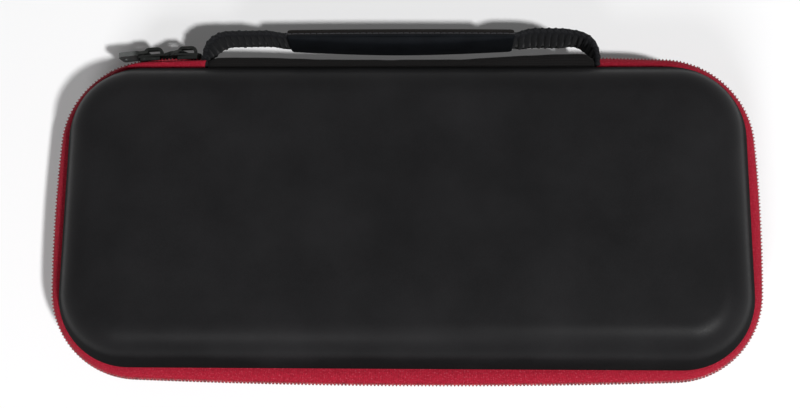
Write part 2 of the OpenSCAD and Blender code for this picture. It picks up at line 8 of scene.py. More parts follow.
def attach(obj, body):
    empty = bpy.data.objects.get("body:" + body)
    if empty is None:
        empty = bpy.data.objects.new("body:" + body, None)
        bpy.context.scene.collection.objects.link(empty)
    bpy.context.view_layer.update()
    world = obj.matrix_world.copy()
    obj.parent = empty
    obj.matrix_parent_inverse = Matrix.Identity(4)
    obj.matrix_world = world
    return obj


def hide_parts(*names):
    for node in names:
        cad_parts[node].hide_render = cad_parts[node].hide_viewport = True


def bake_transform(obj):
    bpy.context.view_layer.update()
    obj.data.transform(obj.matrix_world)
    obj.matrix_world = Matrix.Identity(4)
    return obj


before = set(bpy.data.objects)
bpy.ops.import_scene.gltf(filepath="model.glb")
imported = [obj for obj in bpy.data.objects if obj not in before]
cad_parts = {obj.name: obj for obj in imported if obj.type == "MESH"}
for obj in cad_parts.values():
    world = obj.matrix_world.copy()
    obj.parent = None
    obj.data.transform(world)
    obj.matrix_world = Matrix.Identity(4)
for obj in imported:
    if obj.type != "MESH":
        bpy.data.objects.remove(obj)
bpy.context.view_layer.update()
mm = 0.001
print("stage: frame loaded,", len(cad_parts), "CAD nodes")

# All sizes below are millimetres unless a note says otherwise; z is counted from the zip plane.
case = {
    "length": 260, "depth": 124, "height": 42, "zipLevel": 21, "wall": 3,
    "cornerR": 27, "shoulderR": 13, "draft": 22, "rimGap": 3.6,
    "flareFront": 5.9, "flareSide": 4.6, "ridgeCornerR": 33.5, "frontBow": 2640, "sideBow": 550,
}
zipLevel = case["zipLevel"]
shellX = case["length"] / 2 - case["flareSide"]
shellY = case["depth"] / 2 - case["flareFront"]


def place(x, y, z):
    # millimetres, with z from the zip plane, to the frame's metres
    return Vector((x * mm, y * mm, (zipLevel + z) * mm))


# Helpers for nodes
def setInputs(tree, made, values):
    for key, value in values.items():
        if isinstance(value, bpy.types.NodeSocket):
            tree.links.new(value, made.inputs[key])
        else:
            made.inputs[key].default_value = value


def node(tree, kind, values=None, **settings):
    made = tree.nodes.new(kind)
    for key, value in settings.items():
        setattr(made, key, value)
    setInputs(tree, made, values or {})
    return made


def calc(tree, operation, a, b=0.0, c=None):
    values = {0: a, 1: b} if c is None else {0: a, 1: b, 2: c}
    return node(tree, "ShaderNodeMath", values, operation=operation).outputs[0]


def emptyTree(owner):
    owner.use_nodes = True
    owner.node_tree.nodes.clear()
    return owner.node_tree


# Camera, lamps and floor; the studio's lengths are metres
camera = {"distance": 400, "azimuth": 8.357, "elevation": 79.179, "roll": -8.094,
          "sensor": 36, "lens": 48.89, "shiftX": -0.00596, "shiftY": 0.01549}
studio = {"floorTint": (0.93, 0.93, 0.935), "floorGlow": 0.055, "floorReach": 4, "floorZ": -0.0002, "worldLight": 0.09,
          "keySize": 0.26, "keyPower": 115, "keyFrom": (1.52, -1.36, 2.95),
          "fillSize": 0.78, "fillPower": 13.4, "fillFrom": (-0.42, -1.52, 1.36)}


def makeCamera():
    azimuth, elevation, roll = (radians(camera[k]) for k in ("azimuth", "elevation", "roll"))
    back = Vector((sin(azimuth) * cos(elevation), -cos(azimuth) * cos(elevation), sin(elevation)))
    right = (-back).cross(Vector((0, 0, 1))).normalized()
    up = right.cross(-back)
    across = right * cos(roll) + up * sin(roll)
    upward = up * cos(roll) - right * sin(roll)
    turn = Matrix((across, upward, back)).transposed().to_4x4()
    data = bpy.data.cameras.new("photoCamera")
    data.sensor_width, data.lens = camera["sensor"], camera["lens"]
    data.shift_x, data.shift_y = camera["shiftX"], camera["shiftY"]
    eye = bpy.data.objects.new("photoCamera", data)
    eye.matrix_world = Matrix.Translation(place(0, 0, 0) + back * camera["distance"] * mm) @ turn
    bpy.context.scene.collection.objects.link(eye)
    bpy.context.scene.camera = eye


def areaLamp(name, size, power, position):
    data = bpy.data.lights.new(name, "AREA")
    data.shape, data.size, data.energy = "DISK", size, power
    lamp = bpy.data.objects.new(name, data)
    lamp.location = position
    lamp.rotation_euler = (-Vector(position)).to_track_quat("-Z", "Y").to_euler()
    bpy.context.scene.collection.objects.link(lamp)


def seenDirectly(tree):
    # 1 for camera, glossy and transmission rays, so that the pale ground also shows in gloss
    path = node(tree, "ShaderNodeLightPath").outputs
    direct = calc(tree, "MAXIMUM", path["Is Camera Ray"], path["Is Glossy Ray"])
    return calc(tree, "MAXIMUM", direct, path["Is Transmission Ray"])


def makeStudio():
    scene = bpy.context.scene
    scene.view_settings.view_transform = "Standard"
    scene.world = bpy.data.worlds.new("paleRoom")
    tree = emptyTree(scene.world)
    strength = node(tree, "ShaderNodeMix", {0: seenDirectly(tree), 2: studio["worldLight"], 3: 1.0}).outputs[0]
    ground = node(tree, "ShaderNodeBackground", {"Color": (1, 1, 1, 1), "Strength": strength})
    node(tree, "ShaderNodeOutputWorld", {0: ground.outputs[0]})
    areaLamp("keyLamp", studio["keySize"], studio["keyPower"], studio["keyFrom"])
    areaLamp("fillLamp", studio["fillSize"], studio["fillPower"], studio["fillFrom"])

    material = bpy.data.materials.new("paleFloor")
    tree = emptyTree(material)
    matte = node(tree, "ShaderNodeBsdfDiffuse", {"Color": (*studio["floorTint"], 1)})
    level = calc(tree, "MULTIPLY", seenDirectly(tree), studio["floorGlow"])
    glow = node(tree, "ShaderNodeEmission", {"Color": (1, 1, 1, 1), "Strength": level})
    both = node(tree, "ShaderNodeAddShader", {0: matte.outputs[0], 1: glow.outputs[0]})
    node(tree, "ShaderNodeOutputMaterial", {0: both.outputs[0]})
    mesh = bpy.data.meshes.new("paleFloor")
    reach, z = studio["floorReach"], studio["floorZ"]
    corners = [(-reach, -reach, z), (reach, -reach, z), (reach, reach, z), (-reach, reach, z)]
    mesh.from_pydata(corners, [], [(0, 1, 2, 3)])
    mesh.materials.append(material)
    floor = bpy.data.objects.new("paleFloor", mesh)
    scene.collection.objects.link(floor)


makeCamera()
makeStudio()
print("stage: camera, lamps and floor")


# Finishes: patterns are sized in millimetres
def newMaterial(name):
    material = bpy.data.materials.new(name)
    tree = emptyTree(material)
    shader = node(tree, "ShaderNodeBsdfPrincipled")
    node(tree, "ShaderNodeOutputMaterial", {0: shader.outputs[0]})
    return material, tree, shader


def stretched(tree, vector, factors):
    return node(tree, "ShaderNodeVectorMath", {0: vector, 1: factors}, operation="MULTIPLY").outputs[0]


def coordinate(tree, source):
    # the piece's own "surface" map holds millimetres already, Object coordinates hold metres
    if source == "surface":
        return node(tree, "ShaderNodeUVMap", uv_map="surface").outputs[0]
    return stretched(tree, node(tree, "ShaderNodeTexCoord").outputs["Object"], (1 / mm,) * 3)


def axis(tree, vector, index):
    return node(tree, "ShaderNodeSeparateXYZ", {0: vector}).outputs[index]


def awayFromZip(tree, vector):
    return calc(tree, "ABSOLUTE", calc(tree, "SUBTRACT", axis(tree, vector, 2), zipLevel))


def fade(tree, value, start, stop, atStart, atStop):
    return node(tree, "ShaderNodeMapRange", {0: value, 1: start, 2: stop, 3: atStart, 4: atStop}).outputs[0]


def blended(tree, *shares, base=None):
    # base and the weighted sum of patterns, each given with its weight
    *rest, (pattern, weight) = shares
    total = calc(tree, "MULTIPLY" if base is None else "MULTIPLY_ADD", pattern, weight, base)
    for pattern, weight in reversed(rest):
        total = calc(tree, "MULTIPLY_ADD", pattern, weight, total)
    return total


def noise(tree, vector, size, detail, roughness=0.5):
    values = {"Vector": vector, "Scale": 1 / size, "Detail": detail, "Roughness": roughness}
    return node(tree, "ShaderNodeTexNoise", values).outputs["Fac"]


def ramp(tree, value, stops):
    made = node(tree, "ShaderNodeValToRGB", {"Fac": value})
    for element, (position, tint) in zip(made.color_ramp.elements, stops):
        element.position = position
        element.color = (*tint, 1) if hasattr(tint, "__len__") else (tint, tint, tint, 1)
    return made.outputs["Color"]


def mixTint(tree, factor, a, b):
    a, b = (tint if isinstance(tint, bpy.types.NodeSocket) else (*tint, 1) for tint in (a, b))
    return node(tree, "ShaderNodeMix", {0: factor, 6: a, 7: b}, data_type="RGBA").outputs[2]


def bump(tree, height, strength, depth, under=None):
    values = {"Height": height, "Strength": strength, "Distance": depth * mm}
    if under is not None:
        values["Normal"] = under
    return node(tree, "ShaderNodeBump", values).outputs[0]


def bands(tree, vector, period, direction="X"):
    # a wave of that period, 0 at the cell's edge and 1 in its middle
    return node(tree, "ShaderNodeTexWave", {"Vector": vector, "Scale": 2 * pi / 20 / period},
                bands_direction=direction).outputs["Fac"]


def weave(tree, vector, pitchU, pitchV):
    # plain weave: warp and weft take turns on top, cell by cell
    cell = stretched(tree, vector, (1 / pitchU, 1 / pitchV, 0.001))
    turn = node(tree, "ShaderNodeTexChecker", {"Vector": cell, "Scale": 1.0}).outputs["Fac"]
    warp, weft = bands(tree, vector, pitchU), bands(tree, vector, pitchV, "Y")
    over = calc(tree, "MULTIPLY", warp, blended(tree, (weft, 0.45), base=0.55))
    under = calc(tree, "MULTIPLY", weft, blended(tree, (warp, 0.45), base=0.55))
    return node(tree, "ShaderNodeMix", {0: turn, 2: over, 3: under}).outputs[0]


def clothMaterial(name, source, dark, light, pitch, depth, fuzz=0.35, sheen=0.06, wash=22, fluff=None):
    # plain weave with fuzzy yarn, and patches of a lighter wash
    material, tree, shader = newMaterial(name)
    vector = coordinate(tree, source)
    threads = weave(tree, vector, *pitch)
    yarn = noise(tree, vector, pitch[0] * 1.7, 2)
    patch = noise(tree, vector, wash, 3, 0.6)
    shade = blended(tree, (patch, 0.3), (blended(tree, (yarn, fuzz), (threads, 1 - fuzz)), 0.85))
    tint = ramp(tree, shade, [(0.22, dark), (0.85, light)])
    if fluff:   # loose fibre ends catch the light here and there
        ends = ramp(tree, noise(tree, vector, 0.7, 3, 0.75), [(0.56, 0.0), (0.66, 1.0)])
        tint = mixTint(tree, calc(tree, "MULTIPLY", ends, 0.55), tint, fluff)
    soft = bump(tree, yarn, 0.35, depth * 0.6)
    setInputs(tree, shader, {"Base Color": tint, "Roughness": blended(tree, (yarn, 0.15), base=0.77),
                             "Sheen Weight": sheen, "Sheen Roughness": 0.5, "Specular IOR Level": 0.12,
                             "Normal": bump(tree, threads, 0.6, depth, soft)})
    return material


def skinMaterial():
    material, tree, shader = newMaterial("mouldedSkin")
    vector = coordinate(tree, "object")
    cells = node(tree, "ShaderNodeTexVoronoi", {"Vector": vector, "Scale": 1 / 0.55, "Randomness": 0.9},
                 feature="SMOOTH_F1").outputs["Distance"]
    pores = noise(tree, vector, 0.35, 4, 0.65)
    patch = noise(tree, vector, 30, 4, 0.55)
    wear = noise(tree, vector, 4, 5, 0.7)
    flank = awayFromZip(tree, vector)   # painted shade: the walls near the zip are darkened in colour; they are also duller
    shade = calc(tree, "ADD", blended(tree, (patch, 0.6), (pores, 0.4)), fade(tree, flank, 8.0, 18.0, -0.34, 0.0))
    rough = blended(tree, (wear, 0.12), (cells, 0.10), base=0.30)
    rough = calc(tree, "ADD", rough, fade(tree, flank, 11.0, 15.5, 0.52, 0.0))
    grain = bump(tree, cells, 0.30, 0.045)
    tint = ramp(tree, shade, [(0.18, (0.0034, 0.0034, 0.0037)), (0.70, (0.0158, 0.0155, 0.0165))])
    setInputs(tree, shader, {"Base Color": tint, "Roughness": rough, "Specular IOR Level": 0.055,
                             "Normal": bump(tree, pores, 0.22, 0.03, grain)})
    return material


def liningMaterial():
    material, tree, shader = newMaterial("brushedLining")
    vector = coordinate(tree, "object")
    nap = noise(tree, vector, 0.32, 5, 0.7)
    brushed = noise(tree, stretched(tree, vector, (0.35, 1.6, 1)), 0.9, 3, 0.6)
    patch = noise(tree, vector, 14, 4, 0.6)
    shade = blended(tree, (patch, 0.5), (nap, 0.3), (brushed, 0.2))
    tint = ramp(tree, shade, [(0.3, (0.026, 0.026, 0.029)), (0.72, (0.052, 0.052, 0.057))])
    soft = bump(tree, brushed, 0.4, 0.10)
    setInputs(tree, shader, {"Base Color": tint, "Roughness": 0.95, "Sheen Weight": 0.6, "Sheen Roughness": 0.35,
                             "Specular IOR Level": 0.2, "Normal": bump(tree, nap, 0.55, 0.10, soft)})
    return material


def nylonMaterial(name, dark, light, shadedGaps=False):
    material, tree, shader = newMaterial(name)
    vector = coordinate(tree, "object")
    cloudy, speck = noise(tree, vector, 2.2, 3), noise(tree, vector, 0.4, 2)
    shade = blended(tree, (speck, 0.5), (cloudy, 0.5))
    if shadedGaps:   # painted shade: darker near the zip plane, in the gaps where the two halves mesh
        shade = calc(tree, "MULTIPLY", shade, fade(tree, awayFromZip(tree, vector), 0.15, 0.8, 0.4, 1.05))
    setInputs(tree, shader, {"Base Color": ramp(tree, shade, [(0.3, dark), (0.7, light)]),
                             "Roughness": blended(tree, (speck, 0.2), base=0.26),
                             "Normal": bump(tree, speck, 0.2, 0.03)})
    return material


def metalMaterial(name, paint, edge, roughness, tip=None):
    # tip is a tint and the two x values between which it gives way to the paint
    material, tree, shader = newMaterial(name)
    vector = coordinate(tree, "object")
    cloudy = noise(tree, vector, 1.6, 4, 0.6)
    scratch = noise(tree, stretched(tree, vector, (0.3, 3, 1.4)), 0.5, 5, 0.7)
    worn = ramp(tree, calc(tree, "MULTIPLY", cloudy, scratch), [(0.34, 0.0), (0.46, 1.0)])
    tint = mixTint(tree, cloudy, paint, [2.2 * v for v in paint])
    if tip:
        bare = fade(tree, axis(tree, vector, 0), tip[1], tip[2], 1.0, 0.0)
        tint = mixTint(tree, calc(tree, "MULTIPLY", bare, blended(tree, (cloudy, 0.5), base=0.55)), tint, tip[0])
    setInputs(tree, shader, {"Base Color": mixTint(tree, worn, tint, edge), "Metallic": 0.7,
                             "Roughness": blended(tree, (scratch, 0.22), base=roughness - 0.1),
                             "Specular IOR Level": 0.22, "Coat Weight": 0.08, "Coat Roughness": 0.22,
                             "Normal": bump(tree, scratch, 0.25, 0.02)})
    return material


def ribbedMaterial(name, dark, light, ribPitch):
    # elastic: ribs along the piece, crossed by fine yarn
    material, tree, shader = newMaterial(name)
    vector = coordinate(tree, "surface")
    ribs, yarn = bands(tree, vector, ribPitch, "Y"), bands(tree, vector, 0.45)
    fibre = noise(tree, vector, 0.3, 4, 0.7)
    shade = blended(tree, (ribs, 0.45), (yarn, 0.2), (fibre, 0.45))
    fine = bump(tree, yarn, 0.5, 0.07, bump(tree, fibre, 0.5, 0.06))
    setInputs(tree, shader, {"Base Color": ramp(tree, shade, [(0.25, dark), (0.85, light)]),
                             "Roughness": blended(tree, (fibre, 0.2), base=0.7), "Sheen Weight": 0.05,
                             "Specular IOR Level": 0.12, "Normal": bump(tree, ribs, 0.5, 0.12, fine)})
    return material


def yarnMaterial(name, dark, light, size):
    material, tree, shader = newMaterial(name)
    vector = coordinate(tree, "object")
    twist = bands(tree, vector, size, "DIAGONAL")
    fibre = noise(tree, vector, size * 0.7, 4, 0.7)
    shade = blended(tree, (twist, 0.5), (fibre, 0.5))
    setInputs(tree, shader, {"Base Color": ramp(tree, shade, [(0.25, dark), (0.75, light)]),
                             "Roughness": blended(tree, (fibre, 0.25), base=0.6), "Sheen Weight": 0.04,
                             "Specular IOR Level": 0.12, "Normal": bump(tree, shade, 0.7, 0.06)})
    return material


def gripMaterial():
    # outer strip of plain weave, padded face of smooth dark knit; the piece's "face" attribute parts them
    material, tree, shader = newMaterial("gripCloth")
    vector = coordinate(tree, "surface")
    face = node(tree, "ShaderNodeAttribute", attribute_name="face").outputs["Fac"]
    threads = weave(tree, vector, 0.6, 0.5)
    knit = noise(tree, vector, 0.5, 4, 0.65)
    patch = noise(tree, vector, 9, 4, 0.6)
    strip = ramp(tree, blended(tree, (patch, 0.45), (threads, 0.5)),
                 [(0.2, (0.0075, 0.0068, 0.0066)), (0.8, (0.022, 0.020, 0.019))])
    pad = ramp(tree, blended(tree, (patch, 0.55), (knit, 0.4)),
               [(0.3, (0.0028, 0.0034, 0.0042)), (0.75, (0.0080, 0.0092, 0.0118))])
    soft = bump(tree, knit, 0.4, 0.06)
    setInputs(tree, shader, {"Base Color": mixTint(tree, face, strip, pad), "Specular IOR Level": 0.05,
                             "Roughness": blended(tree, (knit, 0.2), base=0.62),
                             "Normal": bump(tree, threads, 0.45, 0.07, soft)})
    return material


pullTipX = min(corner[0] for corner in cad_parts["pull_b"].bound_box) / mm
finish = {
    "skin": skinMaterial(),
    "lining": liningMaterial(),
    "tape": clothMaterial("crimsonTape", "surface", (0.19, 0.003, 0.012), (0.43, 0.014, 0.036), (0.62, 0.5), 0.10,
                          fuzz=0.6, wash=2.4, sheen=0.02, fluff=(0.60, 0.09, 0.13)),
    "coil": nylonMaterial("darkRedCoil", (0.07, 0.002, 0.005), (0.46, 0.018, 0.036), shadedGaps=True),
    "trim": clothMaterial("blackTrim", "surface", (0.0030, 0.0028, 0.0028), (0.0135, 0.0125, 0.0125), (0.55, 0.55),
                          0.09, sheen=0.03),
    "webbing": yarnMaterial("knittedWebbing", (0.0020, 0.0021, 0.0026), (0.0095, 0.0099, 0.0120), 0.6),
    "grip": gripMaterial(),
    "slider": metalMaterial("blackLacquer", (0.006, 0.0065, 0.006), (0.11, 0.11, 0.11), 0.42),
    "pull": metalMaterial("darkPull", (0.010, 0.011, 0.010), (0.16, 0.16, 0.155), 0.42),
    "pullTip": metalMaterial("wornPull", (0.012, 0.013, 0.012), (0.18, 0.18, 0.175), 0.45,
                             tip=((0.115, 0.120, 0.118), pullTipX + 5.6, pullTipX + 7.4)),
    "elastic": ribbedMaterial("ribbedElastic", (0.006, 0.006, 0.0075), (0.028, 0.028, 0.033), 1.56),
    "thread": yarnMaterial("sewingThread", (0.014, 0.014, 0.016), (0.062, 0.062, 0.068), 0.22),
    "net": yarnMaterial("netYarn", (0.006, 0.006, 0.007), (0.034, 0.034, 0.038), 0.35),
    "netCloth": clothMaterial("fineKnit", "object", (0.004, 0.004, 0.005), (0.020, 0.020, 0.023), (0.7, 0.7), 0.10),
    "blackCoil": nylonMaterial("blackCoil", (0.006, 0.006, 0.007), (0.028, 0.028, 0.031)),
    "flap": clothMaterial("flapCloth", "object", (0.020, 0.020, 0.023), (0.055, 0.055, 0.062), (0.6, 0.6), 0.09),
}
print("stage: finishes,", len(finish), "materials")

# Helpers for meshes
weld = 0.0004   # points closer than this are merged where a shape closes on itself
above, below = Vector((0, 0, 1)), Vector((0, 0, -1))


def addObject(name, mesh):
    made = bpy.data.objects.new(name, mesh)
    bpy.context.scene.collection.objects.link(made)
    return made


def dress(piece, material, body=None, nodes=()):
    # finish, material slot, carrying body and the CAD nodes that the piece stands for
    if material is not None:
        piece.data.materials.clear()
        piece.data.materials.append(material)
    if body:
        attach(piece, body)
    if nodes:
        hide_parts(*nodes)
    return piece


def tidyMesh(mesh, merge):
    work = bmesh.new()
    work.from_mesh(mesh)
    if merge:
        bmesh.ops.remove_doubles(work, verts=work.verts, dist=merge * mm)
        bmesh.ops.dissolve_degenerate(work, edges=work.edges, dist=merge * mm)
    bmesh.ops.recalc_face_normals(work, faces=work.faces)
    for face in work.faces:
        face.smooth = True
    work.to_mesh(mesh)
    work.free()


def loft(name, rings, runLoop=False, capEnds=True, merge=0.0):
    # closed rings of points in metres, with a "surface" map in millimetres: u along the run, v round the ring
    count, size = len(rings), len(rings[0])
    steps = count if runLoop else count - 1
    marks = range(0, size, max(1, size // 4))   # the points whose mean distance to the next ring is its u
    runs, rounds, middle = [0.0], [0.0], rings[count // 2]
    for i in range(steps):
        a, b = rings[i], rings[(i + 1) % count]
        runs.append(runs[-1] + sum((b[j] - a[j]).length for j in marks) / mm / len(marks))
    for j in range(size):
        rounds.append(rounds[-1] + (middle[(j + 1) % size] - middle[j]).length / mm)
    faces, maps = [], []
    for i in range(steps):
        for j in range(size):
            k, m = (i + 1) % count, (j + 1) % size
            faces.append((i * size + j, k * size + j, k * size + m, i * size + m))
            here, there = runs[i], runs[i + 1]
            maps += [(here, rounds[j]), (there, rounds[j]), (there, rounds[j + 1]), (here, rounds[j + 1])]
    if capEnds and not runLoop:
        for i in (0, count - 1):
            faces.append(tuple(i * size + j for j in range(size)))
            maps += [(runs[i], r) for r in rounds[:size]]
    mesh = bpy.data.meshes.new(name)
    mesh.from_pydata([p for ring in rings for p in ring], [], faces)
    layer = mesh.uv_layers.new(name="surface")
    layer.data.foreach_set("uv", [c for pair in maps for c in pair])
    tidyMesh(mesh, merge)
    return addObject(name, mesh)


def applied(piece, keepLayers=False):
    # the piece's mesh with its modifiers applied, which are then removed
    graph = bpy.context.evaluated_depsgraph_get()
    mesh = bpy.data.meshes.new_from_object(piece.evaluated_get(graph), preserve_all_data_layers=keepLayers,
                                           depsgraph=graph)
    piece.modifiers.clear()
    return mesh


def lineLength(line):
    return sum(hypot(b[0] - a[0], b[1] - a[1]) for a, b in zip(line, line[1:]))


def smoothLine(points, parts):
    # Catmull-Rom through the points, given as tuples of any length
    out = []
    for i in range(len(points) - 1):
        p0, p1, p2, p3 = (points[max(0, min(len(points) - 1, i + k))] for k in (-1, 0, 1, 2))
        for step in range(parts):
            t = step / parts
            out.append(tuple(0.5 * (2 * b + (c - a) * t + (2 * a - 5 * b + 4 * c - d) * t * t
                                    + (3 * b - a - 3 * c + d) * t ** 3) for a, b, c, d in zip(p0, p1, p2, p3)))
    return out + [tuple(points[-1])]


def thickLine(line, thickness):
    # both sides of a line of 2-D points, as one closed ring
    sides = []
    last = len(line) - 1
    for i, p in enumerate(line):
        a, b = line[max(i, 1) - 1], line[max(i, 1)]
        c, d = line[min(i, last - 1)], line[min(i, last - 1) + 1]
        normals = []
        for q, r in ((a, b), (c, d)):
            size = hypot(r[0] - q[0], r[1] - q[1])
            normals.append((-(r[1] - q[1]) / size, (r[0] - q[0]) / size))
        nx, ny = normals[0][0] + normals[1][0], normals[0][1] + normals[1][1]
        k = max(0.4, 1 + normals[0][0] * normals[1][0] + normals[0][1] * normals[1][1])
        sides.append((p, (nx / k * thickness / 2, ny / k * thickness / 2)))
    return [(p[0] + n[0], p[1] + n[1]) for p, n in sides] + [(p[0] - n[0], p[1] - n[1]) for p, n in reversed(sides)]


def smoothStep(v):
    v = min(1, max(0, v))
    return v * v * (3 - 2 * v)


# The case's outline, with the same values as the CAD
backCentre = (0.0, case["depth"] / 2 - case["frontBow"])
sideCentre = (case["length"] / 2 - case["sideBow"], 0.0)


def cornerCentre():
    backReach = case["frontBow"] - case["ridgeCornerR"]
    sideReach = case["sideBow"] - case["ridgeCornerR"]
    dx, dy = sideCentre[0] - backCentre[0], sideCentre[1] - backCentre[1]
    gap = hypot(dx, dy)
    foot = (backReach ** 2 - sideReach ** 2 + gap ** 2) / (2 * gap)
    rise = sqrt(backReach ** 2 - foot ** 2)
    ux, uy = dx / gap, dy / gap
    return backCentre[0] + foot * ux + rise * uy, backCentre[1] + foot * uy - rise * ux


ridgeCorner = cornerCentre()
backEnd = degrees(atan2(ridgeCorner[0], ridgeCorner[1] - backCentre[1]))
sideEnd = degrees(atan2(ridgeCorner[1], ridgeCorner[0] - sideCentre[0]))


def quarter(angle):
    return degrees(atan2(abs(sin(radians(angle))), abs(cos(radians(angle)))))


def mirrored(angle, x, y):
    return (-x if cos(radians(angle)) < 0 else x), (-y if sin(radians(angle)) < 0 else y)


def arcPoint(centre, radius, angle):
    return centre[0] + radius * cos(radians(angle)), centre[1] + radius * sin(radians(angle))


def ridge(angle):
    q = quarter(angle)
    if q < sideEnd:
        p = arcPoint(sideCentre, case["sideBow"], q)
    elif q < 90 - backEnd:
        p = arcPoint(ridgeCorner, case["ridgeCornerR"], q)
    else:
        p = arcPoint(backCentre, case["frontBow"], q)
    return mirrored(angle, *p)


ridgeSideY, ridgeBackX = ridge(sideEnd)[1], ridge(90 - backEnd)[0]


def rim(angle, depth=0.0):
    q = quarter(angle)
    if q < sideEnd:
        p = (shellX - depth, (shellY - case["cornerR"]) * ridge(q)[1] / ridgeSideY)
    elif q < 90 - backEnd:
        turned = 90 * (q - sideEnd) / (90 - backEnd - sideEnd)
        p = arcPoint((shellX - case["cornerR"], shellY - case["cornerR"]), case["cornerR"] - depth, turned)
    else:
        p = ((shellX - case["cornerR"]) * ridge(q)[0] / ridgeBackX, shellY - depth)
    return mirrored(angle, *p)


def flare(angle):
    (ax, ay), (bx, by) = ridge(angle), rim(angle)
    return hypot(ax - bx, ay - by)


def atSection(angle, s, z):
    if s < 0:
        x, y = rim(angle, -s)
    else:
        (ax, ay), (bx, by) = ridge(angle), rim(angle)
        size = hypot(ax - bx, ay - by)
        x, y = bx + s * (ax - bx) / size, by + s * (ay - by) / size
    return place(x, y, z)


draft = radians(case["draft"])
wallIn = case["wall"] / cos(draft)
shoulderIn = (case["shoulderR"] + (case["height"] / 2 - case["rimGap"] - case["shoulderR"]) * sin(draft)) / cos(draft)


def lean(z):
    # how far the wall has moved inwards at that level
    return (z - case["rimGap"]) * tan(draft)


def behindWall(offset, z):
    # a section point that lies offset behind the wall's outer surface
    return -offset / cos(draft) - lean(z), z


def roundedRing(halfX, halfY, r, cornerSteps=18, longSteps=44, shortSteps=18):
    # rounded rectangle as a ring of (x, y)
    cx, cy = halfX - r, halfY - r
    ring = []
    for corner, (sx, sy) in enumerate(((1, 1), (-1, 1), (-1, -1), (1, -1))):
        for i in range(cornerSteps):
            angle = 90 * corner + 90 * i / cornerSteps
            ring.append((sx * cx + r * cos(radians(angle)), sy * cy + r * sin(radians(angle))))
        a = (sx * cx + r * cos(radians(90 * corner + 90)), sy * cy + r * sin(radians(90 * corner + 90)))
        nx, ny = ((-1, 1), (-1, -1), (1, -1), (1, 1))[corner]
        b = (nx * cx + r * cos(radians(90 * corner + 90)), ny * cy + r * sin(radians(90 * corner + 90)))
        count = longSteps if corner % 2 == 0 else shortSteps
        ring += [(a[0] + (b[0] - a[0]) * i / count, a[1] + (b[1] - a[1]) * i / count) for i in range(count)]
    return ring


def outline(depth):
    # the wall's outline at the rim, pushed inwards by depth
    return roundedRing(shellX - depth, shellY - depth, max(0.01, case["cornerR"] - depth))


def ringPoints(ring, z):
    return [place(x, y, z) for x, y in ring]


# Moulded shells and their linings
shell = {"skinT": 2.3, "liningGap": 0.04, "crown": 0.5, "rimRound": 0.5, "wallSteps": 8, "shoulderSteps": 16,
         "faceSteps": 12}
rimZ = case["rimGap"] + shell["rimRound"]


def shellProfile(depth):
    # (inset, z) from the rim over the shoulder, for the surface that lies depth inside the outer one
    r = case["shoulderR"] - depth
    centreZ, wallSteps, steps = case["height"] / 2 - case["shoulderR"], shell["wallSteps"], shell["shoulderSteps"]
    start, end = (depth / cos(draft) + lean(rimZ), rimZ), (shoulderIn - r * cos(draft), centreZ + r * sin(draft))
    line = [(start[0] + (end[0] - start[0]) * i / wallSteps, start[1] + (end[1] - start[1]) * i / wallSteps)
            for i in range(wallSteps)]
    for i in range(steps + 1):
        angle = draft + (pi / 2 - draft) * i / steps
        line.append((shoulderIn - r * cos(angle), centreZ + r * sin(angle)))
    return line


def domeRings(depth, side):
    rings = [ringPoints(outline(inset), side * z) for inset, z in shellProfile(depth)]
    top, half = case["height"] / 2 - depth, shellX - shellY
    for i in range(1, shell["faceSteps"] + 1):
        t = i / shell["faceSteps"]
        ring = []
        for x, y in outline(shoulderIn):
            px, py = max(-half, min(half, x)), 0.0
            ring.append(place(x + (px - x) * t, y + (py - y) * t, side * top))
        rings.append(ring)
    reachX, reachY = shellX - shoulderIn, shellY - shoulderIn
    for ring in rings:   # the flat face is a little crowned: its edge sinks, and its middle stays on the CAD's plane
        for p in ring:
            ex, ey = abs(p.x) / mm / reachX, abs(p.y) / mm / reachY
            drop = shell["crown"] * min(1.0, max(ex ** 4, ey ** 2.4)) * smoothStep((abs(p.z / mm - zipLevel) - 6) / 8)
            p.z -= side * drop * mm
    return rings


def domePiece(name, outer, inner, side):
    outside, inside = domeRings(outer, side), domeRings(inner, side)
    middle = []
    for t in (0.2, 0.5, 0.8):   # the rim is rounded between its two faces
        rise = Vector((0, 0, side * shell["rimRound"] * mm * sin(pi * t)))
        middle.append([a.lerp(b, t) - rise for a, b in zip(inside[0], outside[0])])
    return loft(name, inside[::-1] + middle + outside, capEnds=False, merge=weld)


for side, label in ((1, "lid"), (-1, "base")):
    skin = domePiece(label + "Skin", 0, shell["skinT"], side)
    dress(skin, finish["skin"], label, [label + "_shell"])
    lining = domePiece(label + "Lining", shell["skinT"] + shell["liningGap"], case["wall"], side)
    dress(lining, finish["lining"], label, [label + "_shell"])
print("stage: moulded shells and linings")

# Hinge strip, handle and zip: their sizes, and where they meet
hinge = {"length": 145, "shift": -2, "out": 4.4, "cloth": 0.7, "sewnEdge": 4.2, "gap": 0.12,
         "rest": -0.3, "pullLeft": 1.0, "pullRight": 2.1, "fold": 0.35, "tapeGap": 0.15,
         "steps": 96, "blendY": 3, "blendZ": 3.3}
handle = {"webW": 14, "webT": 2, "webOut": 5.5, "bow": 0.5, "bend": 9.4, "seamGap": 0.2, "rootW": 7, "step": 1.0,
          "ribPitch": 2.5, "ribStand": 0.4, "ribTall": 1.3, "ribOverlap": 1.06, "slack": 1.1, "tilt": 0.7,
          "gripLength": 84.8, "gripShift": 0.1, "gripW": 16.4, "cover": 0.7, "pad": 1.7, "cornerOut": 1.5,
          "cornerIn": 2.3, "seam": 0.45, "seamHalf": 0.42, "seamY": -0.25, "groove": 0.3, "grooveAway": 0.75,
          "grooveHalf": 0.45, "bulgeIn": 0.5, "bulgeOut": 0.2, "endRound": 1.6, "fill": 0.7}
spineLeft, spineRight = hinge["shift"] - hinge["length"] / 2, hinge["shift"] + hinge["length"] / 2
webLeft = spineLeft - handle["seamGap"] - handle["webT"] / 2
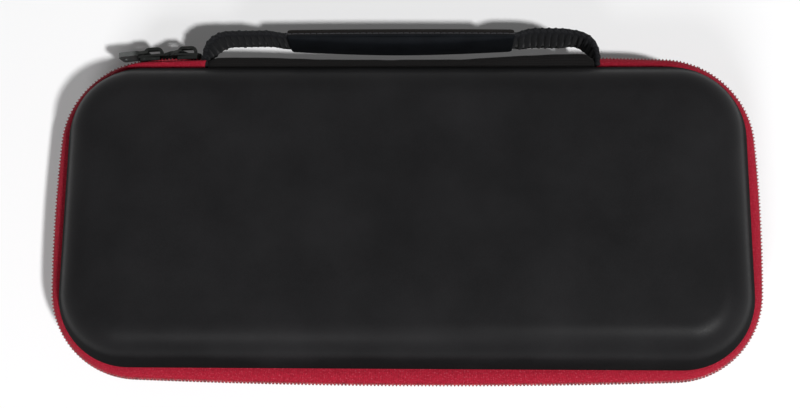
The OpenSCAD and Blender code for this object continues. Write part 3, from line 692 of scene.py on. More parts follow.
webRight = spineRight + handle["seamGap"] + handle["webT"] / 2
zipLeft = webLeft - handle["webT"] / 2 - handle["seamGap"]
zipRight = webRight + handle["webT"] / 2 + handle["seamGap"]
foldZ = case["rimGap"] - hinge["gap"] - hinge["cloth"] / 2
sewnIn = case["wall"] + hinge["gap"] + hinge["cloth"] / 2
sewnTop = case["rimGap"] + hinge["sewnEdge"]


def zipAngle(x):
    return degrees(atan2(-x, sqrt(case["frontBow"] ** 2 - x * x)))


leftAngle, rightAngle = 90 + zipAngle(zipLeft), 450 + zipAngle(zipRight)
zipper = {"coilT": 2.0, "coilW": 1.2, "coilGap": 0.1, "tapeT": 0.62, "teethPitch": 1.3, "wire": 0.29,
          "sliderLen": 11.4, "sliderW": 8, "apart": 1.5, "postBack": 2.2, "postLen": 2.4, "postW": 1.9, "play": 0.35,
          "kneeFade": 6, "spreadFade": 5, "bow": 0.45, "lip": 1.3, "lipZ": 1.62, "sectionStep": 1.5, "slant": 0.32,
          "core": 0.4, "coilPlay": 0.03, "overlap": 0.3}
sliderRunA = zipper["sliderLen"] / 2 + 0.5
sliderRunB = sliderRunA + zipper["sliderLen"] + zipper["apart"]
coilSpread = zipper["postW"] / 2 + zipper["play"] - zipper["coilGap"] / 2


def runAt(angle):
    # length of the ridge from the zip's left end, on the first stretch and the first corner
    b = angle - 90
    start = radians(backEnd - (leftAngle - 90)) * case["frontBow"]
    if b < backEnd:
        return case["frontBow"] * radians(b - (leftAngle - 90))
    return start + case["ridgeCornerR"] * radians(b - backEnd)


def kneeAt(run):
    return 1 - smoothStep((run - sliderRunB - zipper["sliderLen"] / 2 - 1) / zipper["kneeFade"])


def spreadAt(run):
    half, fade = zipper["postLen"] / 2, zipper["spreadFade"]
    start = sliderRunA + zipper["sliderLen"] / 2 - zipper["postBack"] - half
    stop = sliderRunB - zipper["sliderLen"] / 2 + zipper["postBack"] + half
    return (coilSpread * smoothStep((run - start + fade) / (fade - half))
            * (1 - smoothStep((run - stop - half) / (fade - half))))


def sectionsBetween(start, stop):
    # angles of the zip's sections, evenly spaced along the ridge
    picked, travelled, last = [start], 0.0, ridge(start)
    for i in range(1, 6001):
        angle = start + (stop - start) * i / 6000
        p = ridge(angle)
        travelled += hypot(p[0] - last[0], p[1] - last[1])
        last = p
        if travelled >= zipper["sectionStep"]:
            picked.append(angle)
            travelled = 0.0
    if travelled > zipper["sectionStep"] * 0.3:
        picked.append(stop)
    else:
        picked[-1] = stop
    return picked


def tapeLine(angle):
    # middle line of the tape, from the coil over the rim to the edge that is sewn behind the wall
    f, run = flare(angle), runAt(angle)
    k, spread = kneeAt(run), spreadAt(run)
    rimOut = (hinge["gap"] + 0.15, foldZ)
    lip = (f - zipper["lip"], zipper["lipZ"] + spread)   # away from the sliders the tape lies on the coil
    span = lip[0] - rimOut[0]
    soft = [lip]
    for t in (0.8, 0.6, 0.4, 0.2):
        bow = zipper["bow"] * 4 * t * (1 - t) * min(1, span / 4)
        soft.append((rimOut[0] + span * t, foldZ + (lip[1] - foldZ) * t + bow))
    edge = (f - zipper["coilT"] - hinge["cloth"] / 2, 0.35 + spread)
    kneeZ, depth = zipper["sliderW"] / 2 + 0.2, edge[0] - rimOut[0]
    flat = [edge, (edge[0], edge[1] + (kneeZ - edge[1]) * 0.4), (edge[0], kneeZ - 0.3),
            (edge[0] - depth * 0.35, kneeZ), (edge[0] - depth * 0.7, (kneeZ + foldZ) / 2)]
    line = [(a[0] + k * (b[0] - a[0]), a[1] + k * (b[1] - a[1])) for a, b in zip(soft, flat)] + [rimOut]
    fold = behindWall(sewnIn, foldZ)[0]
    return smoothLine(line, 3) + [(-1.6, foldZ), (fold + 0.5, foldZ), (fold + 0.05, foldZ + 0.16),
                                  behindWall(sewnIn, foldZ + 0.6), behindWall(sewnIn, sewnTop)]


def tapePiece(name, sections, side):
    return loft(name, [[atSection(a, p[0], side * p[1]) for p in thickLine(tapeLine(a), zipper["tapeT"])]
                       for a in sections])


# What repeats: trees of geometry nodes
def newTree(name, *sizes):
    tree = bpy.data.node_groups.new(name, "GeometryNodeTree")
    tree.interface.new_socket("Path", in_out="INPUT", socket_type="NodeSocketGeometry")
    for size in sizes:
        tree.interface.new_socket(size, in_out="INPUT", socket_type="NodeSocketFloat")
    tree.interface.new_socket("Finish", in_out="INPUT", socket_type="NodeSocketMaterial")
    tree.interface.new_socket("Pieces", in_out="OUTPUT", socket_type="NodeSocketGeometry")
    return tree, node(tree, "NodeGroupInput").outputs


def endTree(tree, given, shape):
    smooth = node(tree, "GeometryNodeSetShadeSmooth", {"Geometry": shape}).outputs[0]
    real = node(tree, "GeometryNodeRealizeInstances", {"Geometry": smooth}).outputs[0]
    painted = node(tree, "GeometryNodeSetMaterial", {"Geometry": real, "Material": given["Finish"]})
    node(tree, "NodeGroupOutput", {0: painted.outputs[0]})
    return tree


def xyz(tree, x, y, z):
    return node(tree, "ShaderNodeCombineXYZ", {0: x, 1: y, 2: z}).outputs[0]


def pathCurve(tree, given):
    return node(tree, "GeometryNodeMeshToCurve", {"Mesh": given["Path"]}).outputs[0]


def tube(tree, line, corners, radius, caps=False):
    profile = node(tree, "GeometryNodeCurvePrimitiveCircle", {"Resolution": corners, "Radius": radius}).outputs[0]
    values = {"Curve": line, "Profile Curve": profile, "Fill Caps": caps}
    return node(tree, "GeometryNodeCurveToMesh", values).outputs[0]


def alongPath(tree, given, shape, leaning=False, scale=(1, 1, 1)):
    # copies of shape on the path, X along it and Z upright, or along the path's own "lean"
    values = {"Curve": pathCurve(tree, given), "Length": given["Pitch"]}
    spaced = node(tree, "GeometryNodeResampleCurve", values, mode="LENGTH").outputs[0]
    turn = {"Vector": node(tree, "GeometryNodeInputTangent").outputs[0]}
    if leaning:
        up = node(tree, "GeometryNodeInputNamedAttribute", {"Name": "lean"}, data_type="FLOAT_VECTOR").outputs[0]
        turn["Rotation"] = node(tree, "FunctionNodeAlignRotationToVector", {"Vector": up}, axis="Z").outputs[0]
    aligned = node(tree, "FunctionNodeAlignRotationToVector", turn, axis="X", pivot_axis="Z").outputs[0]
    values = {"Points": spaced, "Instance": shape, "Rotation": aligned, "Scale": scale}
    return node(tree, "GeometryNodeInstanceOnPoints", values).outputs[0]


def coilTree():
    tree, given = newTree("coilTurns", "Pitch", "Depth", "Height", "Wire", "Slant", "Core")
    loop = node(tree, "GeometryNodeCurvePrimitiveCircle", {"Resolution": 10, "Radius": 0.5}).outputs[0]
    values = {"Geometry": loop, "Scale": xyz(tree, given["Height"], given["Depth"], 1.0),
              "Rotation": xyz(tree, 0.0, pi / 2, given["Slant"])}
    oval = node(tree, "GeometryNodeTransform", values).outputs[0]
    turns = alongPath(tree, given, tube(tree, oval, 5, given["Wire"]))
    both = node(tree, "GeometryNodeJoinGeometry", {0: turns})
    setInputs(tree, both, {0: tube(tree, pathCurve(tree, given), 6, given["Core"], caps=True)})
    return endTree(tree, given, both.outputs[0])


def stitchTree():
    tree, given = newTree("stitches", "Pitch", "Length", "Thread", "Rise")
    half = calc(tree, "MULTIPLY", given["Length"], 0.5)
    values = {"Resolution": 4, "Start": xyz(tree, calc(tree, "MULTIPLY", half, -1.0), 0.0, 0.0),
              "Middle": xyz(tree, 0.0, 0.0, calc(tree, "MULTIPLY", given["Rise"], 2.0)),
              "End": xyz(tree, half, 0.0, 0.0)}
    arc = node(tree, "GeometryNodeCurveQuadraticBezier", values).outputs[0]
    stitch = tube(tree, arc, 5, given["Thread"], caps=True)
    return endTree(tree, given, alongPath(tree, given, stitch, leaning=True))


def ribTree():
    # a ball drawn out to a barrel, uneven from one rib to the next
    tree, given = newTree("webbingRibs", "Pitch", "Thickness", "Overlap")
    ball = node(tree, "GeometryNodeMeshUVSphere", {"Segments": 10, "Rings": 10, "Radius": 0.5}).outputs[0]
    x, y, z = node(tree, "ShaderNodeSeparateXYZ", {0: node(tree, "GeometryNodeInputPosition").outputs[0]}).outputs
    level = calc(tree, "MULTIPLY", calc(tree, "MULTIPLY", z, z), 4.0)   # 0 in the middle, 1 at the poles
    left = calc(tree, "MAXIMUM", calc(tree, "SUBTRACT", 1.0, level), 0.02)
    full = calc(tree, "POWER", calc(tree, "DIVIDE", calc(tree, "ADD", level, 1.0), left), 0.25)
    barrel = xyz(tree, calc(tree, "MULTIPLY", x, full), calc(tree, "MULTIPLY", y, full), z)
    bead = node(tree, "GeometryNodeSetPosition", {"Geometry": ball, "Position": barrel}).outputs[0]
    height = node(tree, "GeometryNodeInputNamedAttribute", {"Name": "ribHeight"}, data_type="FLOAT").outputs[0]
    plain = xyz(tree, calc(tree, "MULTIPLY", given["Pitch"], given["Overlap"]), given["Thickness"], height)
    uneven = node(tree, "FunctionNodeRandomValue", {"Min": (0.94, 0.88, 0.95), "Max": (1.10, 1.08, 1.02), "Seed": 7},
                  data_type="FLOAT_VECTOR").outputs[0]
    return endTree(tree, given, alongPath(tree, given, bead, scale=stretched(tree, plain, uneven)))


def netTree():
    tree, given = newTree("netYarn", "Yarn")
    return endTree(tree, given, tube(tree, pathCurve(tree, given), 4, given["Yarn"]))


def pathObject(name, lines, leans=None, heights=None, loop=False):
    # lines of points in metres; leans and heights go along as attributes
    points, edges = [], []
    for line in lines:
        first = len(points)
        points += line
        edges += [(first + i, first + i + 1) for i in range(len(line) - 1)]
        if loop:
            edges.append((len(points) - 1, first))
    mesh = bpy.data.meshes.new(name)
    mesh.from_pydata(points, edges, [])
    if leans:
        layer = mesh.attributes.new("lean", "FLOAT_VECTOR", "POINT")
        layer.data.foreach_set("vector", [c for row in leans for v in row for c in v])
    if heights:
        layer = mesh.attributes.new("ribHeight", "FLOAT", "POINT")
        layer.data.foreach_set("value", [h for row in heights for h in row])
    return addObject(name, mesh)


def bakeTree(path, tree, name, material, sizes):
    modifier = path.modifiers.new(tree.name, "NODES")
    modifier.node_group = tree
    sockets = {socket.name: socket.identifier for socket in tree.interface.items_tree if socket.in_out == "INPUT"}
    modifier[sockets["Finish"]] = material
    for size, value in sizes.items():
        modifier[sockets[size]] = value
    mesh = applied(path, keepLayers=True)
    bpy.data.objects.remove(path)
    mesh.name = name
    return addObject(name, mesh)


trees = {"coil": coilTree(), "stitch": stitchTree(), "rib": ribTree(), "net": netTree()}
thread = {"pitch": 3.1, "length": 2.3, "radius": 0.19, "rise": 0.2}


def stitchRow(name, lines, leans, body, pitch=thread["pitch"], length=thread["length"], loop=False):
    # leans is one direction for all stitches, or a list of directions for each line
    if isinstance(leans, Vector):
        leans = [[leans] * len(line) for line in lines]
    path = pathObject(name + "Path", lines, leans=leans, loop=loop)
    sizes = {"Pitch": pitch * mm, "Length": length * mm, "Thread": thread["radius"] * mm, "Rise": thread["rise"] * mm}
    dress(bakeTree(path, trees["stitch"], name, finish["thread"], sizes), None, body)


# Main zip: tapes and coils
def bakeCoil(name, line, teeth, depth, height, material):
    # turns of wire round a core; depth and height are the coil's outer sizes
    sizes = {"Pitch": teeth["teethPitch"] * mm, "Depth": (depth - 2 * teeth["wire"]) * mm,
             "Height": (height - 2 * teeth["wire"]) * mm, "Wire": teeth["wire"] * mm,
             "Slant": teeth["slant"], "Core": teeth["core"] * mm}
    return bakeTree(pathObject(name + "Path", [line]), trees["coil"], name, material, sizes)


def coilPiece(name, sections, side):
    line = []
    for angle in sections:
        z = zipper["coilGap"] / 2 + zipper["coilW"] / 2 + spreadAt(runAt(angle))
        line.append(atSection(angle, flare(angle) - zipper["coilT"] / 2, side * z))
    if side > 0:   # the two halves mesh like fingers, so the upper one starts half a pitch later
        line[0] = line[0] + (line[1] - line[0]).normalized() * zipper["teethPitch"] / 2 * mm
    return bakeCoil(name, line, zipper, zipper["coilT"] - 2 * zipper["coilPlay"], zipper["coilW"] + zipper["overlap"],
                    finish["coil"])


# between these angles the lid's tape and coil are the lid's; next to the hinge tape and coil both stay where they are
leftTurn, rightTurn = 118.0, 425.0
tapeStart = 90 + zipAngle(spineLeft - hinge["tapeGap"])   # the tapes run on over the webbing's roots to the strip
tapeStop = 450 + zipAngle(spineRight + hinge["tapeGap"])
dress(tapePiece("baseTape", sectionsBetween(tapeStart, tapeStop), -1), finish["tape"], "base",
      ["base_zip_tape"])
dress(coilPiece("baseCoil", sectionsBetween(leftAngle, rightAngle), -1), None, "base", ["base_zip_coil"])
for label, side, taped, coiled in (("Left", -1, (tapeStart, leftTurn), (leftAngle, leftTurn)),
                                   ("", 0, (leftTurn, rightTurn), (leftTurn, rightTurn)),
                                   ("Right", 1, (rightTurn, tapeStop), (rightTurn, rightAngle))):
    tape = dress(tapePiece("lidTape" + label, sectionsBetween(*taped), 1), finish["tape"])
    coil = dress(coilPiece("lidCoil" + label, sectionsBetween(*coiled), 1), None)
    for piece, nodeName in ((tape, "lid_zip_tape"), (coil, "lid_zip_coil")):
        if side == 0:
            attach(piece, "lid")
        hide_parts(nodeName)
        if side != 0:
            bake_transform(piece)
print("stage: zip tapes and coils")

# Hinge strip
def spineLine():
    # from the edge sewn in the lid, out round the hinge and back to the edge sewn in the base
    fold = behindWall(sewnIn, foldZ)[0]
    upper = [behindWall(sewnIn, sewnTop), behindWall(sewnIn, foldZ + 0.5), (fold + 0.08, foldZ + 0.12),
             (fold + 0.6, foldZ)]
    upper += smoothLine([(-0.6, foldZ), (hinge["gap"] + 0.4, foldZ - 0.02), (hinge["out"] - 1.7, 2.5),
                         (hinge["out"] - 0.7, 1.5), (hinge["out"] - hinge["cloth"] / 2, 0.0)], 5)
    return upper + [(s, -z) for s, z in reversed(upper[:-1])]


def makeSpine():
    rings = []
    for i in range(hinge["steps"] + 1):
        x = spineLeft + hinge["length"] * i / hinge["steps"]
        sag = 0.10 * sin(x * 0.21) + 0.07 * sin(x * 0.47 + 1)   # the cloth lies a little uneven
        ends = smoothStep(min(x - spineLeft, spineRight - x) / 3.5)
        drawn = (hinge["pullLeft"] * smoothStep((-x - 18) / 45) + hinge["pullRight"] * smoothStep((x - 12) / 50)) * ends
        crease = 2.3 + 0.5 * sin(x * 0.05)   # its height above and below the zip
        ring = []
        for s, z in thickLine(spineLine(), hinge["cloth"] - 0.05):
            soft = sag * smoothStep((s - 1.2) / 2)
            fold = hinge["fold"] * sin(pi * min(1, max(0, s - 0.6) / 3.4)) * max(0.0, 1 - abs(abs(z) - crease) / 0.6)
            out = (hinge["rest"] + drawn) * smoothStep((s - 0.4) / 3.2)
            ring.append(place(x, shellY + s + min(0, soft) + out - fold, z))
        rings.append(ring)
    return loft("hingeStrip", rings)


spine = dress(makeSpine(), finish["trim"], None, ["spine"])
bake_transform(spine)
spineFlat = lineLength(spineLine())
print("stage: hinge strip,", round(spineFlat, 1), "mm wide when flat")

# Handle
webMid, webReach = (webLeft + webRight) / 2, (webRight - webLeft) / 2 - handle["bend"]
webY = case["depth"] / 2 + handle["webOut"]
rootY, taperY = shellY + 1.5, case["depth"] / 2 + 3.2


def webLineY(x):
    # slack webbing lies further out beside the grip
    loose = smoothStep((abs(x) - handle["gripLength"] / 2 - 0.5) / 8)
    return webY + handle["bow"] * (1 - (x / webReach) ** 2) + handle["slack"] * loose


def webLine():
    # left half of the webbing's middle line as (x from its middle, y), then its mirror image
    r = handle["bend"]
    bendY = webLineY(webReach) - r
    half = [(-webReach - r, rootY + (bendY - rootY) * i / 6) for i in range(6)]
    half += [(-webReach - r * cos(radians(90 * i / 14)), bendY + r * sin(radians(90 * i / 14))) for i in range(15)]
    count = ceil(webReach / handle["step"])
    half += [(-webReach * (1 - i / count), webLineY(-webReach * (1 - i / count))) for i in range(1, count + 1)]
    return half + [(-x, y) for x, y in reversed(half[:-1])]


def webHeight(y):
    return handle["rootW"] + (handle["webW"] - handle["rootW"]) * min(1, max(0, (y - rootY) / (taperY - rootY)))


def tiltWebbing(piece):
    # right of the grip the webbing leans over a little and shows more of its face
    for vertex in piece.data.vertices:
        x = vertex.co.x / mm - webMid - handle["gripShift"] - handle["gripLength"] / 2
        share = smoothStep(x / 5) * (1 - smoothStep((x - webReach + handle["gripLength"] / 2 + 4) / 6))
        vertex.co.y += handle["tilt"] * share * (vertex.co.z - zipLevel * mm) / (handle["webW"] / 2)


def makeWebbing():
    line = webLine()
    across = thickLine(line, handle["webT"] - 0.3)
    count = len(line)
    rings = []
    for i in range(count):
        a, b = across[i], across[2 * count - 1 - i]
        h = webHeight(line[i][1]) / 2 - 0.3
        middle = ((a[0] + b[0]) / 2, (a[1] + b[1]) / 2)
        section = [(a, -h), (a, 0), (a, h), (middle, h + 0.25), (b, h), (b, 0), (b, -h), (middle, -h - 0.25)]
        rings.append([place(webMid + p[0], p[1], z) for p, z in section])
    core = loft("webbingCore", rings)
    tiltWebbing(core)
    dress(core, finish["webbing"], "handle", ["handle_webbing"])
    points = [place(webMid + x, y, 0) for x, y in line]
    heights = [(webHeight(y) + handle["ribTall"]) * mm for x, y in line]
    sizes = {"Pitch": handle["ribPitch"] * mm, "Thickness": (handle["webT"] + 2 * handle["ribStand"]) * mm,
             "Overlap": handle["ribOverlap"]}
    ribs = bakeTree(pathObject("webbingPath", [points], heights=[heights]), trees["rib"], "webbingRibs",
                    finish["webbing"], sizes)
    tiltWebbing(ribs)
    dress(ribs, None, "handle", ["handle_webbing"])


def gripSection(u):
    # one ring of the padded grip: boxy round the webbing, bulging on the hand's side, with a sewn ridge between
    half, endRound = handle["gripLength"] / 2, handle["endRound"]
    x = handle["gripShift"] + u * half
    beyond = max(0.0, abs(u) * half - half + endRound)
    shrink = sqrt(max(0.0, 1 - (beyond / endRound) ** 2))
    crown = max(0.0, 1 - u * u)
    middle = webLineY(x)
    cover = handle["webT"] / 2 + handle["seamGap"] + handle["cover"]
    outer = cover * (0.86 + 0.14 * shrink)
    inner = cover * (0.80 + 0.20 * shrink) + handle["pad"] * crown ** 1.2
    height = handle["gripW"] / 2 - (1 - shrink) * 0.9
    rOut, rIn = min(handle["cornerOut"], outer * 0.8), min(handle["cornerIn"], inner * 0.7)
    ring = []
    for corner, (r, y, z) in enumerate(((rOut, outer - rOut, height - rOut), (rIn, rIn - inner, height - rIn),
                                        (rIn, rIn - inner, rIn - height), (rOut, outer - rOut, rOut - height))):
        for i in range(9):
            angle = radians(90 * corner + 90 * i / 8)
            ring.append([y + r * cos(angle), z + r * sin(angle)])
    full = []
    for i, p in enumerate(ring):   # points between the corners carry the bulges and the ridge
        q = ring[(i + 1) % len(ring)]
        full.append(p)
        if (i + 1) % 9 == 0:
            full += [[p[0] + (q[0] - p[0]) * t / 16, p[1] + (q[1] - p[1]) * t / 16] for t in range(1, 16)]
    points = []
    for y, z in full:
        flat = max(0.0, 1 - (z / height) ** 2)
        bulge = (handle["bulgeIn"] if y < 0 else -handle["bulgeOut"]) * crown ** 0.5 * flat * min(1, abs(y) / 1.2)
        off = y - handle["seamY"]
        ridgeUp = handle["seam"] * max(0.0, 1 - abs(off) / handle["seamHalf"]) * (0.4 + 0.6 * shrink)
        groove = handle["groove"] * sum(max(0.0, 1 - abs(off - away) / handle["grooveHalf"])
                                        for away in (-handle["grooveAway"], handle["grooveAway"]))
        rise = (ridgeUp - groove * min(1, shrink)) * (1 if z > 0 else -1)
        padded = 1 - smoothStep((off + 0.5) / 0.5)
        points.append((place(webMid + x, middle + y - bulge, z + rise), padded))
    return points


def seamLineY(u):
    return webLineY(handle["gripShift"] + u * handle["gripLength"] / 2) + handle["seamY"]


def makeGrip():
    span = 2 * handle["endRound"] / handle["gripLength"]
    ends = [1 - span * (1 - sin(radians(a))) for a in (90, 75, 60, 45, 30, 15)]
    inner = [(1 - span) * (1 - i / 40) for i in range(81)]
    stations = [-u for u in ends] + [-u for u in inner] + ends[::-1]
    rings = [gripSection(u) for u in stations]
    grip = loft("grip", [[p for p, padded in ring] for ring in rings])
    layer = grip.data.attributes.new("face", "FLOAT", "POINT")
    layer.data.foreach_set("value", [padded for ring in rings for p, padded in ring])
    dress(grip, finish["grip"], "handle", ["handle_grip"])
    seam = []
    for u in stations[4:-4]:   # the seam's thread lies on its ridge
        top = max((p for p, padded in gripSection(u)), key=lambda p: p.z - abs(p.y / mm - seamLineY(u)) * 1e-3)
        seam.append(Vector((top.x, seamLineY(u) * mm, top.z + 0.00005)))
    stitchRow("gripStitches", [seam], above, "handle", pitch=2.3, length=1.9)


makeWebbing()
makeGrip()
print("stage: handle")


# Metal: softened copies of the CAD's sliders and pulls
def softenedCopy(nodeName, name, bevel, material, body):
    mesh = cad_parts[nodeName].data.copy()
    mesh.name = name
    work = bmesh.new()
    work.from_mesh(mesh)
    bmesh.ops.remove_doubles(work, verts=work.verts, dist=0.002 * mm)
    bmesh.ops.dissolve_limit(work, angle_limit=radians(1.5), verts=work.verts, edges=work.edges)
    for layer in list(work.loops.layers.uv):
        work.loops.layers.uv.remove(layer)
    work.to_mesh(mesh)
    work.free()
    copy = addObject(name, mesh)
    rounding = copy.modifiers.new("roundEdges", "BEVEL")
    rounding.width, rounding.segments, rounding.limit_method = bevel * mm, 2, "ANGLE"
    rounding.angle_limit = radians(25)
    copy.data = applied(copy)
    for face in copy.data.polygons:
        face.use_smooth = True
    copy.modifiers.new("evenShade", "WEIGHTED_NORMAL").keep_sharp = False
    copy.data = applied(copy)
    dress(copy, material, body, [nodeName])


softenedCopy("slider_a", "sliderA", 0.16, finish["slider"], "base")
softenedCopy("slider_b", "sliderB", 0.16, finish["slider"], "zip_slider")
softenedCopy("pull_a", "pullA", 0.22, finish["pull"], "zip_pull_a")
softenedCopy("pull_b", "pullB", 0.22, finish["pullTip"], "zip_pull_b")
print("stage: sliders and pulls")

# Bindings over the sewn edges inside
binding = {"thick": 1.0, "low": 2.4, "over": 0.5, "puff": 0.16, "stitchDown": 1.5, "stitchPitch": 3.4}


def inwards(depth, z):
    # outline at that depth and level with the directions to the middle of the case, for stitches
    line, inner = outline(depth), outline(depth + 1)
    leans = [Vector((b[0] - a[0], b[1] - a[1], 0)).normalized() for a, b in zip(line, inner)]
    return ringPoints(line, z), leans


def trimRing(name, section, outlineAt, body, nodeName):
    # a cloth ring with that closed section of (inset, z)
    rings = [ringPoints(outlineAt(inset), z) for inset, z in section]
    dress(loft(name, rings, runLoop=True), finish["trim"], body, [nodeName])


def makeBinding(label, side):
    near = case["wall"] + 2 * hinge["gap"] + hinge["cloth"]
    far = near + binding["thick"]
    top = sewnTop + binding["over"]
    section = []
    for i in range(9):   # the face that shows, puffed on both sides of its seam
        z = binding["low"] + 0.35 + (top - binding["low"] - 0.7) * i / 8
        seam = 1 - min(1, abs(z - (top - binding["stitchDown"])) / 0.7)
        puff = binding["puff"] * sin(pi * (i + 0.5) / 9) - 0.22 * seam
        section.append((far - 0.12 + puff, z))
    section += [(far - 0.35, top - 0.1), ((near + far) / 2, top), (near + 0.2, top - 0.1)]
    section += [(near, top - 0.4), (near, binding["low"] + 0.4), (near + 0.2, binding["low"] + 0.1),
                ((near + far) / 2, binding["low"]), (far - 0.35, binding["low"] + 0.1)]
    section = [(-behindWall(offset, z)[0], side * z) for offset, z in section]
    trimRing(label + "Binding", section, outline, label, label + "_binding")
    z = top - binding["stitchDown"]
    points, leans = inwards(-behindWall(far - 0.28, z)[0], side * z)
    stitchRow(label + "BindingStitches", [points], [leans], label, pitch=binding["stitchPitch"], loop=True)
    return far


for side, label in ((1, "lid"), (-1, "base")):
    bindingIn = makeBinding(label, side)
print("stage: bindings")

# Elastic straps
strap = {"width": 25, "thick": 1.2, "x": 62, "lap": 36, "lowZ": -4.4, "tail": 3.4, "ribPitch": 1.56, "rib": 0.09,
         "ribStep": 0.39, "hem": 5.5, "rest": 0.3, "flapTail": 1.0, "stitchIn": 1.2, "stitchPitch": 2.4,
         "stitchLength": 1.8}
roomY = shellY - bindingIn / cos(draft)


def roomAt(z):
    return roomY - max(0.0, lean(z))


def strapHalf(name, nodeName, x, wallSide, z):
    gap = strap["rest"] + strap["thick"] / 2 + (strap["flapTail"] + strap["rest"] if wallSide > 0 else 0)
    level, end = z + strap["thick"] / 2, z - strap["tail"]
    wallY, endY = roomAt(-level) - gap, roomAt(-end) - gap
    tip = -strap["lap"] / 2
    line = [(tip + (wallY - 2.2 - tip) * i / 60, level) for i in range(61)]
    line += smoothLine([(wallY - 2.2, level), (wallY - 0.5, level - 0.12), (wallY + 0.05, level - 0.6),
                        (wallY + (endY - wallY) * 0.4, level - 1.6), (endY, end + 0.1)], 5)[1:]
    thin = strap["thick"] / 2 - strap["rib"] - 0.04
    count = round(strap["width"] / strap["ribStep"])
    rings = []
    for i, (y, height) in enumerate(line):
        a, b = line[max(0, i - 1)], line[min(len(line) - 1, i + 1)]
        size = hypot(b[0] - a[0], b[1] - a[1])
        ny, nz = -(b[1] - a[1]) / size, (b[0] - a[0]) / size
        hemmed = 1 - smoothStep((y - tip - strap["hem"]) / 0.7)   # the free end is folded back and sewn
        slack = 0.07 * sin(y * 0.33 + x) * smoothStep((y - tip - 4) / 8) * smoothStep((wallY - y) / 10)
        ring = []
        for k in range(count + 1):
            across = -strap["width"] / 2 + strap["width"] * k / count
            edge = min(1.0, (strap["width"] / 2 - abs(across)) / 0.4)
            rib = strap["rib"] * cos(2 * pi * across / strap["ribPitch"])
            ring.append((across, (thin + rib) * (0.35 + 0.65 * edge) * (0.82 + 0.18 * hemmed) + slack))
        under = [(u, slack * 2 - h) for u, h in reversed(ring)]
        rings.append([place(x + u, wallSide * (y + ny * h), height + nz * h) for u, h in ring + under])
    dress(loft(name, rings), finish["elastic"], "base", [nodeName])
    sewn = strap["width"] / 2 - strap["stitchIn"]
    rows = [[place(x - sewn + 2 * sewn * i / 6, wallSide * y, level + thin) for i in range(7)]
            for y in (tip + 1.2, tip + strap["hem"] - 0.6, wallY - 4.5)]
    stitchRow(name + "Stitches", rows, above, "base", pitch=strap["stitchPitch"], length=strap["stitchLength"])


highZ = strap["lowZ"] + strap["thick"] + strap["rest"] / 3
for label, x in (("left", -strap["x"]), ("right", strap["x"])):
    for half, wallSide, z in (("front", -1, strap["lowZ"]), ("back", 1, highZ)):
        strapHalf("strap" + label.title() + "side" + half.title(), "strap_" + label + "_" + half, x, wallSide, z)
print("stage: straps")

# Padded card flap and its pockets
flap = {"z": highZ + strap["thick"] + 0.7, "thick": 3.0, "margin": 3.4, "edge": 3.6, "tailT": 1.0,
        "fill": 0.75, "fillSteps": 10}
cards = {"columns": 5, "w": 38, "d": 32, "t": 1.2, "edgeX": 10, "edgeY": 11.4, "hem": 3.2, "cornerR": 1.5,
         "puff": 0.15, "stitchIn": 1.5}
roomX, roomR = shellX - bindingIn / cos(draft), case["cornerR"] - bindingIn / cos(draft)
flapX, flapY, flapR = roomX - flap["margin"], roomY - flap["margin"], roomR - flap["margin"]
flapTop = flap["z"] + flap["thick"]


def padRings(profile):
    # closed pad: rings from the middle of the underside round the edge to the middle of the top
    spine, steps = flapX - flapY, flap["fillSteps"]

    def level(inset, z, t=0.0):
        # the ring at that inset, moved by the share t to the pad's middle line
        ring = roundedRing(flapX - inset, flapY - inset, max(0.5, flapR - inset))
        return ringPoints([(x + (max(-spine, min(spine, x)) - x) * t, y * (1 - t)) for x, y in ring], z)
    under, over = ([level(*end, i / steps) for i in range(1, steps + 1)] for end in (profile[0], profile[-1]))
    return under[::-1] + [level(*p) for p in profile] + over


def makeFlap():
    low, high = flap["z"], flapTop
    profile = [(14, low), (7, low + 0.10), (3.6, low + 0.45), (1.4, low + 0.85), (0.5, low + 1.15), (0.2, low + 1.5),
               (0.5, high - 1.15), (1.4, high - 0.85), (3.6, high - 0.45), (7, high - 0.12), (14, high)]
    pad = loft("cardFlap", padRings(profile), capEnds=False, merge=weld)
    dress(pad, finish["flap"], "base", ["card_flap"])
    middle, reach = (low + high) / 2, flap["edge"]
    section = [(reach, high - 0.30), (1.6, high - 0.62), (0.5, high - 0.9), (0.0, middle), (0.5, low + 0.9),
               (1.6, low + 0.62), (reach, low + 0.30), (reach - 0.1, low + 0.62), (1.2, low + 1.1), (0.7, middle),
               (1.2, high - 1.1), (reach - 0.1, high - 0.62)]

    def flapOutline(inset):
        return roundedRing(flapX - inset, flapY - inset, flapR - inset)
    trimRing("flapBinding", section, flapOutline, "base", "card_flap")
    stitchRow("flapStitches", [ringPoints(flapOutline(reach - 0.9), high - 0.36)], above, "base", loop=True)
    # cloth hinge: from the pad's back edge down behind the back wall's binding
    wide, gap = flapX - roomR, strap["rest"] + flap["tailT"] / 2
    level, wallY = flap["z"] + flap["thick"] / 4, roomAt(case["rimGap"]) - gap
    line = smoothLine([(flapY - 1.0, level + 0.5), (flapY + 1.2, level + 0.35), (wallY - 0.7, level + 0.05),
                       (wallY, level - 0.8), (wallY, -case["rimGap"]), (roomAt(sewnTop) - gap, -sewnTop)], 5)
    steps = 60
    rings = []
    for i in range(steps + 1):
        x = -wide + 2 * wide * i / steps
        wave = 0.06 * sin(x * 0.3)
        rings.append([place(x, y, z + wave) for y, z in thickLine(line, 0.6)])
    tail = dress(loft("flapHinge", rings), finish["flap"], "base", ["card_flap"])


